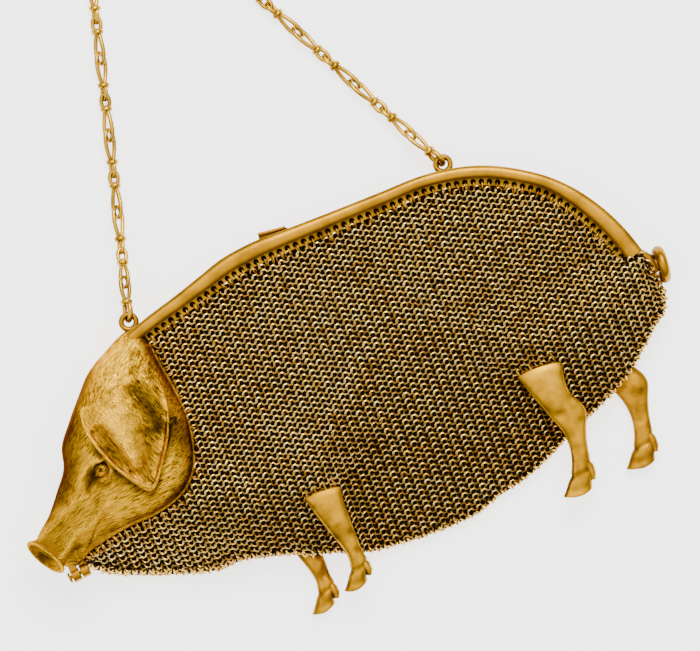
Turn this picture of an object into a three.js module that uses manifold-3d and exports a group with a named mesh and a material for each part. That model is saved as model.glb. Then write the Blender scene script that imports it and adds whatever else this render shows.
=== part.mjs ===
// Gold ring-mesh purse in the shape of a pig, closed and lying on its far side.
// Millimetres, +Z up. The pig faces -X, and its back, with the carrying chain, lies towards +Y.
import * as THREE from 'three';
import { mergeGeometries, mergeVertices } from 'three/addons/utils/BufferGeometryUtils.js';
import Module from 'manifold-3d';

const wasm = await Module();
wasm.setup();

// Place of the whole purse: the middle of its box on the surface is the origin
const CENTRE = { x: 0.9, y: 44.55 };

// Frame: two halves that meet at a parting plane, which slopes from the thick head to the thin tail
const SEAM_HEIGHT = 8.1;
const SEAM_TILT = THREE.MathUtils.degToRad(2.39);
const HALF_CLEARANCE = 0.15;
const PIECE_GAP = 0.3;
const HEAD_WALL = 1;
const HEAD_CENTRE = { x: -50, y: 17 };
const HEAD_STEPS = 26;
const DOME_RINGS = [1, 0.94, 0.8, 0.55];
const DOME_POWER = 2.6;

// Outline of the head from the crown down the forehead to the snout, and back along the jowl
const HEAD_OUTLINE = [
  { x: -36.1, y: 41.9 }, { x: -42.5, y: 40 }, { x: -48.5, y: 37.3 }, { x: -52.8, y: 33.7 },
  { x: -57.5, y: 29.4 }, { x: -61.6, y: 25.1 }, { x: -63.6, y: 20.4 }, { x: -67.4, y: 16.4 },
  { x: -71.2, y: 12.7 }, { x: -77, y: 7.8 }, { x: -74.6, y: 2.2 }, { x: -71.2, y: 0.5 },
  { x: -67, y: 1 }, { x: -56, y: 1.9 }, { x: -49.5, y: 1.5 }, { x: -43.4, y: 2.4 },
  { x: -39.8, y: 4.1 }, { x: -36.8, y: 7 }, { x: -34.7, y: 11.1 }, { x: -32.9, y: 17 },
  { x: -32.4, y: 24 }, { x: -32.7, y: 32 }, { x: -32.9, y: 38 },
];

// Half depth of the head along its length
const HEAD_DEPTH = [
  { x: -78, depth: 4.4 }, { x: -68, depth: 5 }, { x: -60, depth: 6.7 },
  { x: -50, depth: 7.9 }, { x: -42, depth: 8 }, { x: -32, depth: 7 },
];

// Ear: a broad flap from the crown to its tip on the cheek
const EAR = { x: -44, y: 22, steps: 18, sink: 0.6, edge: 0.8, middle: 1.6, innerRing: 0.55 };
const EAR_OUTLINE = [
  { x: -35, y: 38.2 }, { x: -46, y: 35.2 }, { x: -53.3, y: 31.4 }, { x: -55, y: 25.9 },
  { x: -53.5, y: 16.7 }, { x: -51.1, y: 11.1 }, { x: -47.9, y: 6.7 }, { x: -41.5, y: 12.5 },
  { x: -38.1, y: 17 }, { x: -34.9, y: 24 }, { x: -34.5, y: 32 },
];
const EYE = { x: -55.8, y: 16.3, radius: 1.5, sink: 0.5, around: 8, rings: 5 };
const SNOUT_DISC = { x: -75.2, y: 5.2, radius: 4.9, thickness: 2.7, edge: 0.7, sides: 14 };
const SNOUT_DIRECTION = new THREE.Vector3(-0.79, -0.61, 0).normalize();

// Back bar and punched rail: depth is measured from the parting plane
const BAR_DEPTH = 4.8;
const BAR_SHOULDER = 2.9;
const BAR_CROWN = 0.45;
const RAIL = { low: 3, high: 3.6, reach: 1.8, barRoot: 0.9, jowlRoot: 2.4 };
const RAIL_HOLE = { radius: 0.6, pitch: 2.8, sides: 4, outward: 0.1, depth: 2 };

// Bag: walls of ring mesh, slack between the rail and the belly
const BAG_WALL = 1.2;
const BAG_LIP = 3;
const BAG_CLEARANCE = 0.45;
const BAG_PUFF = 2.6;
const BAG_FULL_WIDTH = 45;
const BAG_DROP = 0.35;
const BELLY_THICKNESS = 2.8;
const BELLY_ROUND = 0.7;
const BAG_STATIONS = [0, 0.14, 0.4, 0.72, 1];
const CAVITY_ENDS = { chin: 0.5, tail: 0.7 };

// Jowl rail: the edge of the head with the belly's edge opposite to it
const JOWL_SECTIONS = [
  { x: -67, y: 1, half: 0, bellyX: -69, bellyY: -3 },
  { x: -62.5, y: 1.6, half: 0, bellyX: -65.5, bellyY: -6.4 },
  { x: -56, y: 1.9, half: 0, bellyX: -59.5, bellyY: -9.8 },
  { x: -49.5, y: 1.5, half: 0, bellyX: -53, bellyY: -13 },
  { x: -43.4, y: 2.4, half: 0, bellyX: -47, bellyY: -15.7 },
  { x: -39.8, y: 4.1, half: 0, bellyX: -42, bellyY: -17.2 },
  { x: -36.8, y: 7, half: 0, bellyX: -37.5, bellyY: -17.4 },
  { x: -34.7, y: 11.1, half: 0, bellyX: -33, bellyY: -18.9 },
  { x: -32.9, y: 17, half: 0, bellyX: -28.5, bellyY: -20.6 },
  { x: -32.4, y: 24, half: 0, bellyX: -24.5, bellyY: -22.4 },
  { x: -32.7, y: 32, half: 0, bellyX: -20.5, bellyY: -24.6 },
  { x: -32.8, y: 37.1, half: 0, bellyX: -17, bellyY: -25.6 },
];

// Back bar: its middle line and half width, with the belly's edge opposite to it
const BAR_SECTIONS = [
  { x: -29.5, y: 41.6, half: 1.45, bellyX: -13.5, bellyY: -27.4 },
  { x: -22, y: 42.7, half: 1.55, bellyX: -9.5, bellyY: -29.6 },
  { x: -15, y: 43.8, half: 1.75, bellyX: -5, bellyY: -30.7 },
  { x: -9, y: 44.6, half: 1.85, bellyX: -1, bellyY: -31.5 },
  { x: -1.5, y: 44.75, half: 1.85, bellyX: 5, bellyY: -32.4 },
  { x: 5.5, y: 44.15, half: 1.7, bellyX: 10.5, bellyY: -32.9 },
  { x: 13, y: 43.4, half: 1.6, bellyX: 16.4, bellyY: -33.2 },
  { x: 20, y: 42.75, half: 1.5, bellyX: 22, bellyY: -31.9 },
  { x: 30, y: 41.8, half: 1.45, bellyX: 29, bellyY: -31.2 },
  { x: 39.5, y: 40.95, half: 1.4, bellyX: 36, bellyY: -29.5 },
  { x: 47.5, y: 38.95, half: 1.45, bellyX: 43, bellyY: -27.1 },
  { x: 54, y: 36.15, half: 1.45, bellyX: 49.5, bellyY: -25 },
  { x: 60.2, y: 32, half: 1.45, bellyX: 56, bellyY: -22.9 },
  { x: 65.4, y: 27.3, half: 1.45, bellyX: 62.3, bellyY: -20.3 },
  { x: 69.1, y: 22.1, half: 1.7, bellyX: 67.5, bellyY: -17 },
  { x: 72.5, y: 15.1, half: 1.9, bellyX: 72.5, bellyY: -13.6 },
  { x: 74.5, y: 8.9, half: 1.95, bellyX: 76.3, bellyY: -11.4 },
  { x: 75.6, y: 3.5, half: 1.95, bellyX: 78.2, bellyY: -7.6 },
];
const BAR_ROOT = { x: -36, y: 40.2, half: 1.4 };
const RAIL_END = { x: 75.05, y: 6.2, half: 1.95 };

// Hinges at the chin and the rump, both on one line along X
const CHIN_HINGE = { x: -71.4, y: -2.9, radius: 1.4, bore: 0.75, length: 1.65, sides: 12, lug: 5.1 };
const CHIN_PIN = { radius: 0.45, headRadius: 1, headLength: 0.5 };
const RUMP_HINGE = { x: 77.35, y: -1.4, radius: 1.5, bore: 1, length: 1, sides: 12, lug: 3 };
const RUMP_TONGUE = { overlap: 1, low: 2.4, high: 5.2, depth: 1.8 };

// Curled tail: a thick wire that winds round the hinge line
const TAIL = { pinRadius: 0.7, radius: 1.15, coil: 3.05, start: 79.8, end: 80.6, turns: 1.4, sides: 8 };
const TAIL_STEPS = 16;
const TAIL_OPENING = { from: -0.25, to: 0.22 };
const TAIL_TIP = { share: 0.75, radius: 0.75 };

// Chain loops on the far half, and the catch lever with its pivot post
const LOOP = { ring: 1.72, wire: 0.48, depth: 1.1, segments: 10, sides: 5 };
const LOOP_PLACES = [{ x: -34.7, y: 43.5 }, { x: 46.3, y: 42.4 }];
const LEVER = { pivotX: 7.2, pivotY: 47, tipX: 1.3, tipY: 47.8, half: 0.42, eye: 0.95, bore: 0.62 };
const LEVER_DEPTH = { near: 0.5, far: 2.7 };
const LEVER_POST = { radius: 0.32, sides: 8, lugTop: 3, lugBase: 3.8, lugHalf: 0.7, lugLength: 2.6 };

// Legs, built from the linked top edge down to the sole: y runs down from the top edge
const LEG_SIDES = 8;
const FRONT_LEG = [
  { y: 0, front: -17.7, back: -8.8, half: 0.9 }, { y: -1.4, front: -17.4, back: -9.2, half: 1.4 },
  { y: -5.2, front: -16.8, back: -9.9, half: 1.6 }, { y: -9.4, front: -16, back: -10.4, half: 1.6 },
  { y: -13.4, front: -15.2, back: -10.9, half: 1.45 }, { y: -16.5, front: -15, back: -11.3, half: 1.35 },
  { y: -18.9, front: -15.8, back: -11.3, half: 1.4 }, { y: -20.4, front: -17, back: -12.6, half: 1.45 },
  { y: -22.3, front: -18.8, back: -13.6, half: 1.4 },
];
const HIND_LEG = [
  { y: 0, front: 38.6, back: 48.9, half: 0.9 }, { y: -1.5, front: 39, back: 48.9, half: 1.4 },
  { y: -5.5, front: 40, back: 48.2, half: 1.65 }, { y: -9.5, front: 41.2, back: 48.4, half: 1.65 },
  { y: -13.7, front: 42.1, back: 49.2, half: 1.5 }, { y: -16.4, front: 42.2, back: 47.8, half: 1.4 },
  { y: -20, front: 41.7, back: 46.3, half: 1.35 }, { y: -23.8, front: 40.4, back: 45, half: 1.35 },
  { y: -26.6, front: 38.6, back: 43.8, half: 1.45 }, { y: -29.3, front: 36, back: 41.7, half: 1.4 },
];
const FRONT_CLAW = { x: -12, y: -21 };
const HIND_CLAW = { x: 44, y: -26.8 };
const LEGS = [
  { name: 'near_front_leg', rows: FRONT_LEG, claw: FRONT_CLAW, dx: 0, y: -11.9, z: 12.15, slope: 11 },
  { name: 'near_hind_leg', rows: HIND_LEG, claw: HIND_CLAW, dx: 0, y: -9.7, z: 11.2, slope: 10 },
  { name: 'far_front_leg', rows: FRONT_LEG, claw: FRONT_CLAW, dx: -9.3, y: -13.1, z: 1.7, slope: 0 },
  { name: 'far_hind_leg', rows: HIND_LEG, claw: HIND_CLAW, dx: 15.4, y: -10.5, z: 1.75, slope: 0 },
];
const CLAW = { width: 1.1, height: 1, half: 0.8, around: 6, rings: 4 };
const FAR_LEG_ROOM = { rise: 3.9, margin: 3.2, fall: 9 };

// Chain: a link pair is two long loops that hook into each other, with a collar and an eye at each end
const CHAIN = {
  apexX: 6.6, apexY: 150.6, wire: 0.35, wireSides: 5, loopSteps: 10, height: 1.55,
  long: 12.4, join: 5.5, full: 9, firstLong: 9.2, lastLong: 11.5, firstReach: 4.6, lastReach: 4.4,
  loopWidth: 1.65, neck: 0.35, hook: 0.26, eyeWidth: 0.85, endEyeWidth: 1.4, endEyeInset: 0.45,
  collarRadius: 1.15, collarLip: 0.86, collarHalf: 0.5, collarSides: 6, settle: 30, roll: Math.PI / 4,
};

const gold = new THREE.MeshStandardMaterial({ color: 0xc99a3f, roughness: 0.35, metalness: 1 });
const paleGold = new THREE.MeshStandardMaterial({ color: 0xd8b25c, roughness: 0.3, metalness: 1 });
const meshGold = new THREE.MeshStandardMaterial({ color: 0x8a6a33, roughness: 0.45, metalness: 1 });

const mix = THREE.MathUtils.lerp;
const smoothstep = THREE.MathUtils.smoothstep;
const seamAt = (x) => SEAM_HEIGHT - x * Math.tan(SEAM_TILT);
const point = (x, y, z) => new THREE.Vector3(x, y, z);

// Closed geometry from points and triangles, turned so that its faces point out
function closedGeometry(points, triangles) {
  let volume = 0;
  for (const [a, b, c] of triangles) {
    volume += points[a].dot(new THREE.Vector3().crossVectors(points[b], points[c]));
  }
  const faces = volume < 0 ? triangles.map(([a, b, c]) => [a, c, b]) : triangles;
  const geometry = new THREE.BufferGeometry();
  geometry.setFromPoints(points);
  geometry.setIndex(faces.flat());
  return geometry;
}

// Skin over rings of equal length, with a fan at each end unless the rings run in a closed loop
function loft(rings, looped = false) {
  const count = rings[0].length;
  const points = rings.flat();
  const triangles = [];
  const spans = looped ? rings.length : rings.length - 1;
  for (let i = 0; i < spans; i += 1) {
    const next = (i + 1) % rings.length;
    for (let j = 0; j < count; j += 1) {
      const k = (j + 1) % count;
      triangles.push([i * count + j, i * count + k, next * count + k]);
      triangles.push([i * count + j, next * count + k, next * count + j]);
    }
  }
  if (!looped) {
    for (const [ring, turn] of [[0, -1], [rings.length - 1, 1]]) {
      const middle = points.length;
      const centre = new THREE.Vector3();
      rings[ring].forEach((p) => centre.addScaledVector(p, 1 / count));
      points.push(centre);
      for (let j = 0; j < count; j += 1) {
        const a = ring * count + j;
        const b = ring * count + ((j + 1) % count);
        triangles.push(turn > 0 ? [a, b, middle] : [b, a, middle]);
      }
    }
  }
  return closedGeometry(points, triangles);
}

// Solid for joining and cutting, from any closed geometry
function solidOf(geometry) {
  const bare = geometry.clone();
  bare.deleteAttribute('normal');
  bare.deleteAttribute('uv');
  const welded = mergeVertices(bare, 1e-4);
  const mesh = new wasm.Mesh({
    numProp: 3,
    vertProperties: new Float32Array(welded.attributes.position.array),
    triVerts: new Uint32Array(welded.index.array),
  });
  mesh.merge();
  return new wasm.Manifold(mesh);
}

function geometryOf(solid) {
  const mesh = solid.getMesh();
  const geometry = new THREE.BufferGeometry();
  geometry.setAttribute('position', new THREE.BufferAttribute(new Float32Array(mesh.vertProperties), 3));
  geometry.setIndex(new THREE.BufferAttribute(new Uint32Array(mesh.triVerts), 1));
  return geometry;
}

const joined = (solids) => solids.reduce((all, one) => all.add(one));

// The far half is the near half mirrored in the parting plane
function mirrored(geometry) {
  const turned = geometry.clone().scale(1, 1, -1);
  const index = turned.index.array;
  for (let i = 0; i < index.length; i += 3) {
    [index[i + 1], index[i + 2]] = [index[i + 2], index[i + 1]];
  }
  return turned;
}

// Head: a dome over the outline, fullest at the cheek
function spacedOutline(rows, steps) {
  const curve = new THREE.CatmullRomCurve3(rows.map(({ x, y }) => point(x, y, 0)), true, 'centripetal');
  return curve.getSpacedPoints(steps).slice(0, steps);
}

const headEdge = spacedOutline(HEAD_OUTLINE, HEAD_STEPS);

function headDepthAt(x) {
  const next = HEAD_DEPTH.findIndex((row) => row.x >= x);
  if (next <= 0) {
    return next === 0 ? HEAD_DEPTH[0].depth : HEAD_DEPTH[HEAD_DEPTH.length - 1].depth;
  }
  const [a, b] = [HEAD_DEPTH[next - 1], HEAD_DEPTH[next]];
  return mix(a.depth, b.depth, (x - a.x) / (b.x - a.x));
}

// Share of the way from the head's centre to its edge, along the ray through a point
function headShare(x, y) {
  const ray = { x: x - HEAD_CENTRE.x, y: y - HEAD_CENTRE.y };
  let share = 0;
  headEdge.forEach((p, i) => {
    const q = headEdge[(i + 1) % headEdge.length];
    const a = { x: p.x - HEAD_CENTRE.x, y: p.y - HEAD_CENTRE.y };
    const edge = { x: q.x - p.x, y: q.y - p.y };
    const cross = ray.x * edge.y - ray.y * edge.x;
    const reach = (a.x * edge.y - a.y * edge.x) / cross;
    const along = (a.x * ray.y - a.y * ray.x) / cross;
    if (reach > 0 && along >= 0 && along <= 1) {
      share = Math.max(share, 1 / reach);
    }
  });
  return share;
}

const domeAt = (share) => Math.sqrt(Math.max(0, 1 - share ** DOME_POWER));
const headHeight = (x, y) => HALF_CLEARANCE + headDepthAt(x) * domeAt(Math.min(1, headShare(x, y)));

// Dome solid whose edge is drawn in by inset and whose foot stands at foot
function headDome(inset, foot) {
  const rings = DOME_RINGS.map((share) => headEdge.map((p) => {
    const arm = point(p.x - HEAD_CENTRE.x, p.y - HEAD_CENTRE.y, 0);
    arm.setLength(arm.length() - inset).multiplyScalar(share);
    const x = HEAD_CENTRE.x + arm.x;
    const rise = (headDepthAt(x) - inset) * domeAt(share);
    return point(x, HEAD_CENTRE.y + arm.y, share === 1 ? HALF_CLEARANCE : HALF_CLEARANCE + rise);
  }));
  const base = rings[0].map((p) => point(p.x, p.y, foot));
  return solidOf(loft(foot < HALF_CLEARANCE ? [base, ...rings] : rings));
}

function earSolid() {
  const edge = spacedOutline(EAR_OUTLINE, EAR.steps);
  const ring = (share, lift) => edge.map((p) => {
    const x = mix(EAR.x, p.x, share);
    const y = mix(EAR.y, p.y, share);
    return point(x, y, headHeight(x, y) + lift);
  });
  return solidOf(loft([ring(1, -EAR.sink), ring(1, EAR.edge), ring(EAR.innerRing, EAR.middle)]));
}

function eyeSolid() {
  const ball = new THREE.SphereGeometry(EYE.radius, EYE.around, EYE.rings);
  ball.translate(EYE.x, EYE.y, headHeight(EYE.x, EYE.y) - EYE.sink);
  return solidOf(ball);
}

// Snout: half a round disc with softened edges, facing the way the snout points
function snoutSolid() {
  const { radius, thickness, edge, sides } = SNOUT_DISC;
  const profile = [[0, 0], [radius - edge, 0], [radius, edge], [radius, thickness - edge],
    [radius - edge, thickness], [0, thickness]];
  const disc = new THREE.LatheGeometry(profile.map(([r, h]) => new THREE.Vector2(r, h)), sides);
  disc.applyQuaternion(new THREE.Quaternion().setFromUnitVectors(point(0, 1, 0), SNOUT_DIRECTION));
  disc.translate(SNOUT_DISC.x, SNOUT_DISC.y, 0);
  const keep = new THREE.BoxGeometry(4 * radius, 4 * radius, 2 * radius);
  keep.translate(SNOUT_DISC.x, SNOUT_DISC.y, radius + HALF_CLEARANCE);
  return solidOf(disc).intersect(solidOf(keep));
}

// Unit normals across a run of stations, on the side where the bag hangs
function sideNormals(rows) {
  return rows.map((row, i) => {
    const before = rows[Math.max(0, i - 1)];
    const after = rows[Math.min(rows.length - 1, i + 1)];
    const along = new THREE.Vector2(after.x - before.x, after.y - before.y).normalize();
    return new THREE.Vector2(along.y, -along.x);
  });
}

// Sweep of a section, given as offset and height, along stations in the parting plane
function sweep(rows, sectionOf) {
  const normals = sideNormals(rows);
  const rings = rows.map((row, i) => sectionOf(row).map(([across, height]) => (
    point(row.x + normals[i].x * across, row.y + normals[i].y * across, height)
  )));
  return solidOf(loft(rings));
}

const barRows = [BAR_ROOT, ...BAR_SECTIONS];
const railRows = [...BAR_SECTIONS.slice(0, -1), RAIL_END];

const barSection = ({ half }) => [
  [-half, HALF_CLEARANCE], [half, HALF_CLEARANCE], [half, BAR_SHOULDER],
  [BAR_CROWN * half, BAR_DEPTH], [-BAR_CROWN * half, BAR_DEPTH], [-half, BAR_SHOULDER],
];

const railSection = (root) => ({ half }) => [
  [half - root, RAIL.low], [half + RAIL.reach, RAIL.low],
  [half + RAIL.reach, RAIL.high], [half - root, RAIL.high],
];

// Punched holes along the back bar's rail, for the links that carry the mesh
function railHoles() {
  const normals = sideNormals(railRows);
  const middle = railRows.map((row, i) => {
    const across = row.half + RAIL.reach / 2 + RAIL_HOLE.outward;
    return point(row.x + normals[i].x * across, row.y + normals[i].y * across, (RAIL.low + RAIL.high) / 2);
  });
  const line = new THREE.CatmullRomCurve3(middle, false, 'centripetal');
  const count = Math.floor(line.getLength() / RAIL_HOLE.pitch);
  const punches = line.getSpacedPoints(count).slice(1, -1).map((p) => {
    const { radius, depth, sides } = RAIL_HOLE;
    const punch = new THREE.CylinderGeometry(radius, radius, depth, sides);
    return punch.rotateX(Math.PI / 2).translate(p.x, p.y, p.z);
  });
  return solidOf(mergeGeometries(punches));
}

// Cylinder along X from one x to another
function rodAlongX(radius, from, to, { y, sides }) {
  const rod = new THREE.CylinderGeometry(radius, radius, to - from, sides);
  return solidOf(rod.rotateZ(Math.PI / 2).translate((from + to) / 2, y, 0));
}

const block = (from, to) => {
  const size = to.clone().sub(from);
  const box = new THREE.BoxGeometry(size.x, size.y, size.z);
  return solidOf(box.translate((from.x + to.x) / 2, (from.y + to.y) / 2, (from.z + to.z) / 2));
};

// Knuckle with its lug, which reaches from the hinge line into the half that it belongs to
function knuckle(hinge, side) {
  const from = side < 0 ? hinge.x - PIECE_GAP / 2 - hinge.length : hinge.x + PIECE_GAP / 2;
  const to = from + hinge.length;
  const lug = block(point(from, hinge.y, HALF_CLEARANCE), point(to, hinge.y + hinge.lug, hinge.radius));
  return rodAlongX(hinge.radius, from, to, hinge).add(lug)
    .subtract(rodAlongX(hinge.bore, from - 1, to + 1, hinge));
}

function frameHalf(side) {
  const shell = headDome(0, HALF_CLEARANCE);
  const hollow = headDome(HEAD_WALL, -1);
  const solids = [
    shell, earSolid(), eyeSolid(), snoutSolid(), sweep(barRows, barSection),
    sweep(railRows, railSection(RAIL.barRoot)).subtract(railHoles()),
    sweep(JOWL_SECTIONS, railSection(RAIL.jowlRoot)),
  ];
  const { overlap, low, high, depth } = RUMP_TONGUE;
  const rumpTongue = block(
    point(BAR_SECTIONS[BAR_SECTIONS.length - 1].x - overlap, RUMP_HINGE.y + low, HALF_CLEARANCE),
    point(RUMP_HINGE.x + RUMP_HINGE.length, RUMP_HINGE.y + high, depth),
  );
  return joined(solids).subtract(hollow)
    .add(knuckle(CHIN_HINGE, side))
    .add(knuckle(RUMP_HINGE, side))
    .add(rumpTongue);
}

// Closed loop of wire through points that lie in one plane
function wireLoop(points, normal, radius, sides) {
  const rings = points.map((p, i) => {
    const before = points[(i + points.length - 1) % points.length];
    const after = points[(i + 1) % points.length];
    const out = after.clone().sub(before).normalize().cross(normal);
    return Array.from({ length: sides }, (_, k) => {
      const angle = (2 * Math.PI * k) / sides;
      return p.clone().addScaledVector(out, radius * Math.cos(angle))
        .addScaledVector(normal, radius * Math.sin(angle));
    });
  });
  return solidOf(loft(rings, true));
}

function chainLoop({ x, y }) {
  const points = Array.from({ length: LOOP.segments }, (_, i) => {
    const angle = (2 * Math.PI * i) / LOOP.segments;
    return point(x + LOOP.ring * Math.cos(angle), y + LOOP.ring * Math.sin(angle), LOOP.depth);
  });
  return wireLoop(points, point(0, 0, 1), LOOP.wire, LOOP.sides);
}

// Post that the catch lever turns on, standing on a lug at the back of the bar
function leverPost() {
  const { radius, sides, lugTop, lugBase, lugHalf, lugLength } = LEVER_POST;
  const post = new THREE.CylinderGeometry(radius, radius, lugBase - LEVER_DEPTH.near, sides);
  post.rotateX(Math.PI / 2).translate(LEVER.pivotX, LEVER.pivotY, (lugBase + LEVER_DEPTH.near) / 2);
  const lug = block(
    point(LEVER.pivotX - lugHalf, LEVER.pivotY + lugHalf - lugLength, lugTop),
    point(LEVER.pivotX + lugHalf, LEVER.pivotY + lugHalf, lugBase),
  );
  return solidOf(post).add(lug);
}

function leverGeometry() {
  const { pivotX, pivotY, tipX, tipY, half, eye, bore } = LEVER;
  const shape = new THREE.Shape();
  const lean = Math.atan2(tipY - pivotY, tipX - pivotX);
  const open = Math.asin(half / eye);
  shape.absarc(pivotX, pivotY, eye, lean + open, lean - open + 2 * Math.PI, false);
  shape.absarc(tipX, tipY, half, lean - Math.PI / 2, lean + Math.PI / 2, false);
  shape.holes.push(new THREE.Path().absarc(pivotX, pivotY, bore, 0, 2 * Math.PI, true));
  const depth = LEVER_DEPTH.far - LEVER_DEPTH.near;
  const strip = new THREE.ExtrudeGeometry(shape, { depth, bevelEnabled: false, curveSegments: 6 });
  return geometryOf(solidOf(strip.translate(0, 0, -LEVER_DEPTH.far)));
}

function chinPinGeometry() {
  const low = CHIN_HINGE.x - CHIN_HINGE.length - PIECE_GAP * 1.5;
  const high = CHIN_HINGE.x + CHIN_HINGE.length + PIECE_GAP;
  const head = rodAlongX(CHIN_PIN.headRadius, low - CHIN_PIN.headLength, low, CHIN_HINGE);
  return geometryOf(rodAlongX(CHIN_PIN.radius, low - CHIN_PIN.headLength / 2, high, CHIN_HINGE).add(head));
}

// Tail: straight pin on the hinge line, then a coil that opens out round it
function tailGeometry() {
  const stops = [
    { at: point(RUMP_HINGE.x - RUMP_HINGE.length - PIECE_GAP, RUMP_HINGE.y, 0), radius: TAIL.pinRadius },
    { at: point(RUMP_HINGE.x + RUMP_HINGE.length + PIECE_GAP, RUMP_HINGE.y, 0), radius: TAIL.pinRadius },
  ];
  for (let i = 0; i <= TAIL_STEPS; i += 1) {
    const share = i / TAIL_STEPS;
    const angle = Math.PI / 2 + 2 * Math.PI * TAIL.turns * share;
    const reach = TAIL.coil * smoothstep(share, TAIL_OPENING.from, TAIL_OPENING.to);
    const x = mix(TAIL.start, TAIL.end, share);
    const at = point(x, RUMP_HINGE.y + reach * Math.cos(angle), reach * Math.sin(angle));
    const taper = Math.max(0, (share - TAIL_TIP.share) / (1 - TAIL_TIP.share));
    stops.push({ at, radius: TAIL.radius * mix(1, TAIL_TIP.radius, taper) });
  }
  const path = new THREE.CatmullRomCurve3(stops.map(({ at }) => at));
  const frames = path.computeFrenetFrames(stops.length - 1, false);
  const rings = stops.map(({ at, radius }, i) => Array.from({ length: TAIL.sides }, (_, k) => {
    const angle = (2 * Math.PI * k) / TAIL.sides;
    return at.clone().addScaledVector(frames.normals[i], radius * Math.cos(angle))
      .addScaledVector(frames.binormals[i], radius * Math.sin(angle));
  }));
  return loft(rings);
}

// Room above the far legs, whose upper ends lie between the bag and the surface
function farLegRise(x, y) {
  const { rise, margin, fall } = FAR_LEG_ROOM;
  return LEGS.filter(({ name }) => name.startsWith('far')).reduce((most, leg) => {
    const low = Math.min(...leg.rows.map(({ front }) => front)) + leg.dx + margin;
    const high = Math.max(...leg.rows.map(({ back }) => back)) + leg.dx + margin;
    const away = Math.max(low - 2 * margin - x, x - high, y - leg.y - margin, 0);
    return Math.max(most, rise * (1 - smoothstep(away, 0, fall)));
  }, 0);
}

// Bag sections: each runs straight from the mouth at the rail to the belly's edge
function bagSections() {
  const rows = [...JOWL_SECTIONS, ...BAR_SECTIONS];
  const normals = [...sideNormals(JOWL_SECTIONS), ...sideNormals(BAR_SECTIONS)];
  return rows.map((row, i) => {
    const across = row.half + RAIL.reach + BAG_CLEARANCE;
    return {
      mouth: new THREE.Vector2(row.x + normals[i].x * across, row.y + normals[i].y * across),
      belly: new THREE.Vector2(row.bellyX, row.bellyY),
    };
  });
}

const blendSections = (a, b, share) => ({
  mouth: a.mouth.clone().lerp(b.mouth, share),
  belly: a.belly.clone().lerp(b.belly, share),
});

// Outer heights of the two panels at a share of the way from mouth to belly
function panelHeights({ mouth, belly }, share) {
  const within = Math.max(0, share);
  const x = mix(mouth.x, belly.x, within);
  const y = mix(mouth.y, belly.y, within);
  const rise = farLegRise(x, y);
  const slack = BAG_PUFF * Math.min(1, mouth.distanceTo(belly) / BAG_FULL_WIDTH);
  const lip = BAG_LIP + BAG_WALL;
  const seam = seamAt(mouth.x);
  return {
    near: mix(seam + lip, BELLY_THICKNESS, within) + slack * Math.sin(Math.PI * within) + rise,
    far: mix(seam - lip, 0, smoothstep(within, 0, BAG_DROP)) + rise,
  };
}

function bagRing(section, shares, inset, roundOut) {
  const at = (share, panel, lift) => point(
    mix(section.mouth.x, section.belly.x, share),
    mix(section.mouth.y, section.belly.y, share),
    panelHeights(section, share)[panel] + lift,
  );
  const near = shares.map((share) => at(share, 'near', -inset));
  const far = shares.map((share) => at(share, 'far', inset)).reverse();
  const width = section.mouth.distanceTo(section.belly);
  const edge = near[near.length - 1].clone().lerp(far[0], 0.5);
  const out = section.belly.clone().sub(section.mouth).multiplyScalar(roundOut / width);
  return [...near, edge.add(point(out.x, out.y, 0)), ...far];
}

function bagGeometry() {
  const sections = bagSections();
  const last = sections.length - 1;
  const outer = loft(sections.map((section) => bagRing(section, BAG_STATIONS, 0, BELLY_ROUND)));
  const inner = [
    blendSections(sections[0], sections[1], CAVITY_ENDS.chin),
    ...sections.filter((_, i) => i % 2 === 1 && i < last),
    blendSections(sections[last - 1], sections[last], CAVITY_ENDS.tail),
  ];
  const hollow = loft(inner.map((section) => {
    const width = section.mouth.distanceTo(section.belly);
    const end = 1 - BAG_WALL / width;
    const shares = [-1 / width, ...BAG_STATIONS.slice(1, -1), end];
    return bagRing(section, shares, BAG_WALL, 0);
  }));
  return geometryOf(solidOf(outer).subtract(solidOf(hollow)));
}

// Leg: rounded sections from the linked top edge down to the hoof, with a dewclaw behind it
function legGeometry({ rows, dx, claw }) {
  const rings = rows.map(({ y, front, back, half }) => Array.from({ length: LEG_SIDES }, (_, k) => {
    const angle = (2 * Math.PI * k) / LEG_SIDES;
    const x = (front + back) / 2 + ((back - front) / 2) * Math.cos(angle);
    return point(x + dx, y, half * Math.sin(angle));
  }));
  const dewclaw = new THREE.SphereGeometry(1, CLAW.around, CLAW.rings);
  dewclaw.scale(CLAW.width, CLAW.height, CLAW.half).translate(claw.x + dx, claw.y, 0);
  return geometryOf(solidOf(loft(rings)).add(solidOf(dewclaw)));
}

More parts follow.
